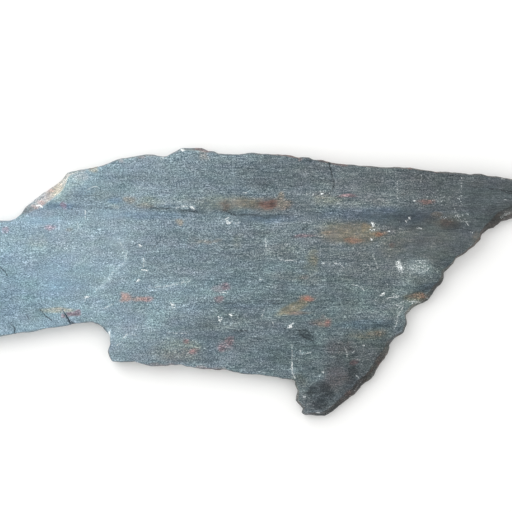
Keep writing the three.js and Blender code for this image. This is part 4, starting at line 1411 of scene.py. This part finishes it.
class Effects:
    """The shader node groups, each built once."""

    def __init__(self) -> None:
        """Builds them all."""
        self.grain = self.build_grain()
        self.threads = self.build_threads()
        self.stain = self.build_stain()
        self.flecks = self.build_flecks()
        self.stroke = self.build_stroke()

    def start(self, name: str, inputs: str, output: str) -> tuple[Graph, dict[str, Socket], Node]:
        """Starts a group.

        Args:
            name: The group's name.
            inputs: The names of its inputs. Position is a vector, Color and Stain are colours and
                the others are numbers.
            output: What it puts out: Color, or a number of another name.

        Returns:
            Its graph, its inputs by name and the node that takes its output.
        """
        tree = bpy.data.node_groups.new(name, "ShaderNodeTree")
        kinds = {"Position": "Vector", "Color": "Color", "Stain": "Color"}
        for socket in inputs.split():
            kind = "NodeSocket" + kinds.get(socket, "Float")
            tree.interface.new_socket(socket, in_out="INPUT", socket_type=kind)
        kind = "NodeSocket" + kinds.get(output, "Float")
        tree.interface.new_socket(output, in_out="OUTPUT", socket_type=kind)
        graph = Graph(tree)
        given = graph.add("NodeGroupInput").outputs
        return graph, {socket: given[socket] for socket in inputs.split()}, graph.add("NodeGroupOutput")

    def build_grain(self) -> bpy.types.NodeTree:
        """Builds the grain: a factor about 1 that lightens some grains and darkens others.

        A noise drawn out along the cleavage swings about 1 either side of nothing. Skew adds its
        square, which makes light grains stand out more than dark ones.
        """
        graph, given, result = self.start("Grain", "Position Length Width Strength Skew", "Factor")
        height = graph.swing(graph.scaled(given["Position"], given["Length"], given["Width"]), 1.0)
        square = graph.math("SUBTRACT", graph.product(height, height), 1.0)
        lifted = graph.math("ADD", height, graph.product(square, given["Skew"]))
        factor = graph.math("ADD", graph.product(lifted, given["Strength"]), 1.0)
        graph.feed(result, {0: graph.math("MAXIMUM", factor, 0.15)})
        return graph.tree

    def build_threads(self) -> bpy.types.NodeTree:
        """Builds the threads: a factor over 1 on short thin lines where a noise crosses its mean."""
        graph, given, result = self.start("Threads", "Position Length Width Strength", "Factor")
        place = graph.scaled(given["Position"], given["Length"], given["Width"])
        line = graph.spread(graph.math("ABSOLUTE", graph.swing(place, 1.0)), 0.4, 0.0)
        broken = graph.spread(graph.noise(graph.vector("ADD", place, (7.3, 1.9, 4.1))), 0.42, 0.58)
        area = graph.spread(graph.noise(graph.scaled(place, 5.0, 5.0)), 0.4, 0.6, 0.25, 1.0)
        lift = graph.product(line, broken, area, given["Strength"])
        graph.feed(result, {0: graph.math("ADD", lift, 1.0)})
        return graph.tree

    def build_stain(self) -> bpy.types.NodeTree:
        """Builds the stain: the slate times another colour where a mask is, broken up grain by grain.

        The mask is raised and lowered by a noise, so that a weak mask colours only some grains.
        """
        graph, given, result = self.start("Stain", "Color Stain Mask Position Size Ragged", "Color")
        size = given["Size"]
        place = graph.scaled(given["Position"], graph.product(size, 1.7), size)
        ragged = graph.math("ADD", graph.product(graph.swing(place, 3.0, 0.7), given["Ragged"]), 1.0)
        share = graph.math("MULTIPLY", given["Mask"], graph.math("MAXIMUM", ragged, 0.0), clamped=True)
        graph.feed(result, {0: graph.blend(share, given["Color"], given["Stain"], "MULTIPLY")})
        return graph.tree

    def build_flecks(self) -> bpy.types.NodeTree:
        """Builds the flecks: ragged chips where a noise of the flecks' Size is high.

        The level that it has to pass falls from far above the noise, where Amount is none, to a
        little over its mean, where Amount is 1.
        """
        graph, given, result = self.start("Flecks", "Position Size Amount", "Mask")
        place = graph.scaled(given["Position"], given["Size"], given["Size"])
        level = graph.math("ADD", graph.noise(place, 1.0), graph.product(given["Amount"], 0.3))
        graph.feed(result, {0: graph.spread(level, 0.8, 0.9)})
        return graph.tree

    def build_stroke(self) -> bpy.types.NodeTree:
        """Builds the strokes' mask: 1 within the nearest stroke, with sides roughened by noise.

        Side is how far a point lies to one side of it, in its half widths, and Reach its distance.
        Tone is its strength, below 0 if it is dark. A strong stroke is whole and a weak one broken.
        """
        graph, given, result = self.start("Stroke", "Position Side Reach Tone", "Mask")
        rough = graph.product(graph.swing(graph.scaled(given["Position"], 4.0, 3.0), 2.0), 0.45)
        off = graph.math("ABSOLUTE", graph.math("ADD", given["Side"], rough))
        whole = graph.spread(graph.noise(graph.scaled(given["Position"], 2.4, 2.0)), 0.38, 0.62)
        inside = graph.spread(off, 1.1, 0.5)
        near = graph.spread(given["Reach"], 2.4, 1.1)
        strength = graph.math("SUBTRACT", graph.product(graph.math("ABSOLUTE", given["Tone"]), 1.4), 0.65)
        level = graph.math("ADD", strength, graph.product(whole, 0.75), clamped=True)
        graph.feed(result, {0: graph.product(inside, near, level, graph.math("SIGN", given["Tone"]))})
        return graph.tree


@dataclass(frozen=True)
class Canvas:
    """What a material is painted with: its graph, the node groups and the place in millimetres."""

    graph: Graph
    effects: Effects
    position: Socket

    def mask(self, name: Tint | Part | Line) -> Socket:
        """Gives one of the numbers kept on the mesh."""
        return self.graph.attribute(name.value)

    def effect(self, tree: bpy.types.NodeTree, **inputs: Value) -> Socket:
        """Places a node group at the position, with its other inputs given by name."""
        return self.graph.group(tree, {"Position": self.position, **inputs})

    def stain(self, colour: Socket, stain: Colour, mask: Socket, size: float, ragged: float) -> Socket:
        """Gives a colour multiplied by a stain where its mask is, broken up to that size."""
        inputs = {"Color": colour, "Stain": stain, "Mask": mask, "Size": size, "Ragged": ragged}
        return self.effect(self.effects.stain, **inputs)


@dataclass(frozen=True)
class Slate:
    """The slate's finish. Colours are linear red, green and blue.

    Attributes:
        along: The body colour at places along the grain, as x in millimetres and colour, lighter and bluer
            in the west as painted sky sheen.
        stains: What each tint multiplies the slate by, how coarsely it is broken up in
            millimetres, and how much.
    """

    # painted sky sheen: the western stops are lighter and bluer where the smooth face shines with the sky;
    # eastwards the ramp darkens
    along: tuple[tuple[float, Colour], ...] = (
        (-375, (0.192, 0.282, 0.348, 1.0)),
        (-175, (0.185, 0.250, 0.290, 1.0)),
        (-15, (0.132, 0.176, 0.200, 1.0)),
        (175, (0.112, 0.136, 0.146, 1.0)),
        (355, (0.076, 0.091, 0.098, 1.0)),
    )
    stains: tuple[tuple[Tint, Colour, float, float], ...] = (
        # lightens the slate; in the west, painted sky sheen
        (Tint.LIGHT, (1.55, 1.53, 1.50, 1.0), 12.0, 0.25),
        # painted shade
        (Tint.SHADE, (0.42, 0.44, 0.45, 1.0), 12.0, 0.25),
        # painted deep shade, and dark blotches
        (Tint.DUSK, (0.46, 0.47, 0.49, 1.0), 5.0, 0.3),
        # painted shade and sky reflection: a blue darkening
        (Tint.STEEL, (0.76, 0.86, 1.00, 1.0), 8.0, 0.25),
        (Tint.TEAL, (0.87, 1.00, 0.99, 1.0), 12.0, 0.2),
        (Tint.OLIVE, (1.08, 1.00, 0.84, 1.0), 5.0, 0.3),
        (Tint.BLOOM, (1.22, 1.20, 1.18, 1.0), 4.0, 0.5),
        (Tint.OCHRE, (1.42, 1.04, 0.81, 1.0), 4.0, 0.25),
        (Tint.RUST, (1.44, 0.86, 0.77, 1.0), 3.0, 0.35),
        (Tint.ROSE, (1.42, 0.83, 0.84, 1.0), 3.0, 0.35),
    )
    side: Colour = (0.92, 0.88, 0.85, 1.0)
    rim: Colour = (1.45, 0.90, 0.72, 1.0)
    # umber with painted shade, and buff with painted light, on the break
    umber_and_shade: Colour = (0.62, 0.55, 0.50, 1.0)
    buff_and_light: Colour = (1.84, 1.48, 1.33, 1.0)
    bruise: Colour = (1.30, 1.28, 1.25, 1.0)
    bloom: Colour = (0.620, 0.680, 0.680, 1.0)
    # white of chips and crumbs, and of painted highlights on lit edges
    chip_and_highlight: Colour = (0.880, 0.920, 0.920, 1.0)
    # darkens hairline cracks, and painted shadow under the ledge
    hairline_and_shadow: Colour = (0.30, 0.31, 0.33, 1.0)
    # painted shade: the near-black of the crack walls
    dark: Colour = (0.020, 0.022, 0.024, 1.0)
    glint: tuple[float, float, float] = (1.14, 1.0, 0.94)

    def body(self, canvas: Canvas) -> Socket:
        """Gives the slate's colour with painted sky sheen: a ramp along the grain, lighter and bluer in the
        west, whose place wanders, with mottling.
        """
        graph, position = canvas.graph, canvas.position
        drift = graph.noise(graph.scaled(position, 83.0, 50.0), 3.0)
        shifted = graph.math("ADD", graph.axis(position, 0), graph.math("MULTIPLY", drift, 140.0))
        shifted = graph.math("SUBTRACT", shifted, 70.0)
        first, last = self.along[0][0], self.along[-1][0]
        share = graph.math("DIVIDE", graph.math("SUBTRACT", shifted, first), last - first)
        ramp = graph.add("ShaderNodeValToRGB", {0: share})
        stops = ramp.color_ramp.elements
        stops[0].color, stops[1].color = self.along[0][1], self.along[-1][1]
        for x, colour in self.along[1:-1]:
            stops.new((x - first) / (last - first)).color = colour
        inputs = {"Vector": graph.scaled(position, 34.0, 16.0), "Scale": 1.0, "Detail": 1.0}
        tinge = graph.add("ShaderNodeTexNoise", inputs).outputs["Color"]
        swing = graph.vector("MULTIPLY", tinge, (0.16, 0.12, 0.16))
        return graph.times(ramp.outputs[0], graph.vector("ADD", swing, (0.92, 0.94, 0.92)))

    def stained(self, canvas: Canvas, colour: Socket) -> Socket:
        """Lays the tints over the slate, one after another."""
        for tint, stain, size, ragged in self.stains:
            colour = canvas.stain(colour, stain, canvas.mask(tint), size, ragged)
        return colour

    def edged(self, canvas: Canvas, colour: Socket) -> Socket:
        """Colours the break: its strata, its red-brown rims, its umber stretches, darker as painted shade
        where the break faces away from the lamp, and its buff stretches, paler as painted light on the
        upper-left bevel, which faces the lamp.

        Args:
            canvas: What the material is painted with.
            colour: The colour of the face.

        Returns:
            The colour of face and break together.
        """
        graph, position = canvas.graph, canvas.position
        layers = graph.noise(graph.scaled(position, 30.0, 1.6), 3.0)
        stripes = graph.spread(layers, 0.35, 0.65, 0.75, 1.3)
        side = graph.times(graph.times(colour, self.side), stripes)
        patchy = graph.spread(graph.noise(graph.scaled(position, 20.0, 20.0), 3.0, 0.7), 0.45, 0.7)
        rust = graph.math("SUBTRACT", 0.5, canvas.mask(Tint.BUFF), clamped=True)
        side = graph.blend(graph.product(patchy, rust), side, self.rim, "MULTIPLY")
        for tint, stain in ((Tint.UMBER, self.umber_and_shade), (Tint.BUFF, self.buff_and_light)):
            side = canvas.stain(side, stain, canvas.mask(tint), 4.0, 0.2)
        bruised = graph.product(canvas.mask(Part.ARRIS), 0.5)
        worn = canvas.stain(colour, self.bruise, bruised, 3.0, 0.5)
        return graph.blend(canvas.mask(Part.BREAK), worn, side)

    def grained(self, canvas: Canvas, colour: Socket) -> tuple[Socket, Socket]:
        """Multiplies the colour by streaks, bands, speckle and threads, and gives also the relief.

        Light grains are paler than the slate, so the factor swings most in red and least in blue.
        """
        graph, effects = canvas.graph, canvas.effects
        east = graph.axis(canvas.position, 0)
        calm = graph.spread(canvas.mask(Tint.CALM), 0.0, 1.0, 1.0, 0.45)
        strength = graph.spread(east, -260.0, 20.0, 0.06, 0.22)
        streaks = canvas.effect(effects.grain, Length=13.0, Width=1.5, Strength=strength, Skew=0.1)
        strength = graph.product(graph.spread(east, -200.0, 40.0, 0.04, 0.13), calm)
        bands = canvas.effect(effects.grain, Length=46.0, Width=3.2, Strength=strength, Skew=-0.15)
        strength = graph.product(graph.spread(east, -260.0, 20.0, 0.43, 0.56), calm)
        speckle = canvas.effect(effects.grain, Length=1.9, Width=1.2, Strength=strength, Skew=0.2)
        strength = graph.product(calm, 0.9)
        threads = canvas.effect(effects.threads, Length=5.6, Width=3.0, Strength=strength)
        swing = graph.math("SUBTRACT", graph.product(streaks, bands, speckle, threads), 1.0)
        factor = graph.vector("ADD", graph.vector("MULTIPLY", swing, self.glint), (1.0, 1.0, 1.0))
        height = graph.math("ADD", graph.product(speckle, 0.5), graph.product(streaks, 1.2))
        return graph.times(colour, factor), height

    def marked(self, canvas: Canvas, colour: Socket) -> Socket:
        """Adds the bloom's specks, the chalk's crumbs, the strokes and painted shade in the cracks."""
        graph, effects = canvas.graph, canvas.effects
        for tint, size, level, cover, paint in (
            (Tint.BLOOM, 1.9, 0.95, 0.7, self.bloom),
            (Tint.CHALK, 1.6, 1.25, 0.85, self.chip_and_highlight),
        ):
            amount = graph.product(canvas.mask(tint), level)
            flecks = canvas.effect(effects.flecks, Size=size, Amount=amount)
            colour = graph.blend(graph.product(flecks, cover), colour, paint)
        side, reach, tone = (canvas.mask(line) for line in Line)
        mask = canvas.effect(effects.stroke, Side=side, Reach=reach, Tone=tone)
        light = graph.math("MULTIPLY", mask, 0.9, clamped=True)
        deep = graph.math("MULTIPLY", mask, -1.0, clamped=True)
        # white chips, and painted highlights on lit edges, from the light strokes
        colour = graph.blend(light, colour, self.chip_and_highlight)
        # painted shadow under the ledge, and hairline cracks, from the dark strokes
        colour = graph.blend(deep, colour, self.hairline_and_shadow, "MULTIPLY")
        # painted shade: the walls of the cracks are painted almost black
        return graph.blend(canvas.mask(Part.CRACK), colour, self.dark)

    def material(self, placement: Placement) -> bpy.types.Material:
        """Builds the material.

        Args:
            placement: Where the slab lies in the frame, so that the strokes meet their noise.

        Returns:
            The slate, with its colour, roughness and fine bump.
        """
        material = bpy.data.materials.new(SLOT)
        material.use_nodes = True
        graph = Graph(material.node_tree)
        shader = material.node_tree.nodes["Principled BSDF"]
        object_place = graph.add("ShaderNodeTexCoord").outputs["Object"]
        moved = graph.vector("SUBTRACT", object_place, tuple(placement.shift.tolist()))
        position = graph.vector("MULTIPLY", moved, (1 / MM, 1 / MM, 1 / MM))

        canvas = Canvas(graph, Effects(), position)
        colour = self.stained(canvas, self.body(canvas))
        colour = self.edged(canvas, colour)
        colour, height = self.grained(canvas, colour)
        colour = self.marked(canvas, colour)
        bump = graph.add("ShaderNodeBump", {"Height": height, "Strength": 0.7, "Distance": 0.0005})
        gloss = graph.spread(height, 0.6, 2.8, 0.64, 0.82)
        surface = {"Base Color": colour, "Roughness": gloss, "Specular IOR Level": 0.35}
        graph.feed(shader, {**surface, "Normal": bump.outputs[0]})
        return material


@dataclass(frozen=True)
class Studio:
    """A pale floor, soft light and a camera straight above, in metres.

    Attributes:
        floor_reach: From the middle of the floor to its edge.
        aim: The middle of the picture, in slab millimetres.
        picture_width: What the picture spans at the height of the aim, on the broken edge.
    """

    floor_reach: float = 4.0
    floor_colour: Colour = (0.88, 0.88, 0.87, 1.0)
    sky: float = 1.0
    aim: tuple[float, float, float] = (26.0, 36.75, 18.0)
    picture_width: float = 0.768
    lens: float = 120.0
    film: float = 36.0
    lamp_place: tuple[float, float, float] = (-1.1, 1.1, 1.6)
    lamp_size: float = 2.0
    lamp_power: float = 24.0

    def floor(self) -> bpy.types.Object:
        """Builds the floor, a square a fraction of a millimetre under the stone."""
        reach = self.floor_reach
        corners = [(x * reach, y * reach, -0.0003) for x, y in ((-1, -1), (1, -1), (1, 1), (-1, 1))]
        mesh = bpy.data.meshes.new("studio_floor")
        mesh.from_pydata(corners, [], [(0, 1, 2, 3)])
        floor = new_object("studio_floor", mesh)
        material = bpy.data.materials.new("pale_paper")
        material.use_nodes = True
        shader = material.node_tree.nodes["Principled BSDF"]
        shader.inputs["Base Color"].default_value = self.floor_colour
        shader.inputs["Roughness"].default_value = 0.9
        mesh.materials.append(material)
        return floor

    def lights(self) -> None:
        """Sets the even sky and one large lamp from the upper left of the picture."""
        world = bpy.data.worlds.new("studio")
        world.use_nodes = True
        sky = world.node_tree.nodes["Background"]
        sky.inputs["Color"].default_value = (1.0, 1.0, 1.0, 1.0)
        sky.inputs["Strength"].default_value = self.sky
        bpy.context.scene.world = world
        data = bpy.data.lights.new("soft_lamp", "AREA")
        data.shape = "DISK"
        data.size = self.lamp_size
        data.energy = self.lamp_power
        lamp = new_object("soft_lamp", data)
        lamp.location = self.lamp_place
        lamp.rotation_euler = (-Vector(self.lamp_place)).to_track_quat("-Z", "Y").to_euler()
        lamp.visible_camera = False

    def camera(self, placement: Placement) -> bpy.types.Object:
        """Hangs the camera straight above the aim, so high that the picture spans its width there."""
        data = bpy.data.cameras.new("camera")
        data.lens = self.lens
        data.sensor_width = self.film
        camera = new_object("camera", data)
        x, y, z = placement.apply(np.array(self.aim)).tolist()
        camera.location = (x, y, z + self.picture_width * self.lens / self.film)
        bpy.context.scene.camera = camera
        return camera


def main() -> None:
    """Builds the stone and the studio around it."""
    logging.basicConfig(level=logging.INFO, format="%(name)s: %(message)s")
    flagstone = Flagstone()
    piece = flagstone.build(Slate())
    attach(piece, BODY)
    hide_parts(NODE)
    LOG.info("%s: %d points, %d faces", piece.name, len(piece.data.vertices), len(piece.data.polygons))

    studio = Studio()
    floor = studio.floor()
    studio.lights()
    camera = studio.camera(flagstone.placement)
    bpy.context.scene.view_settings.view_transform = "Standard"
    LOG.info("%s and %s are in place", floor.name, camera.name)


if __name__ == "__main__":
    main()
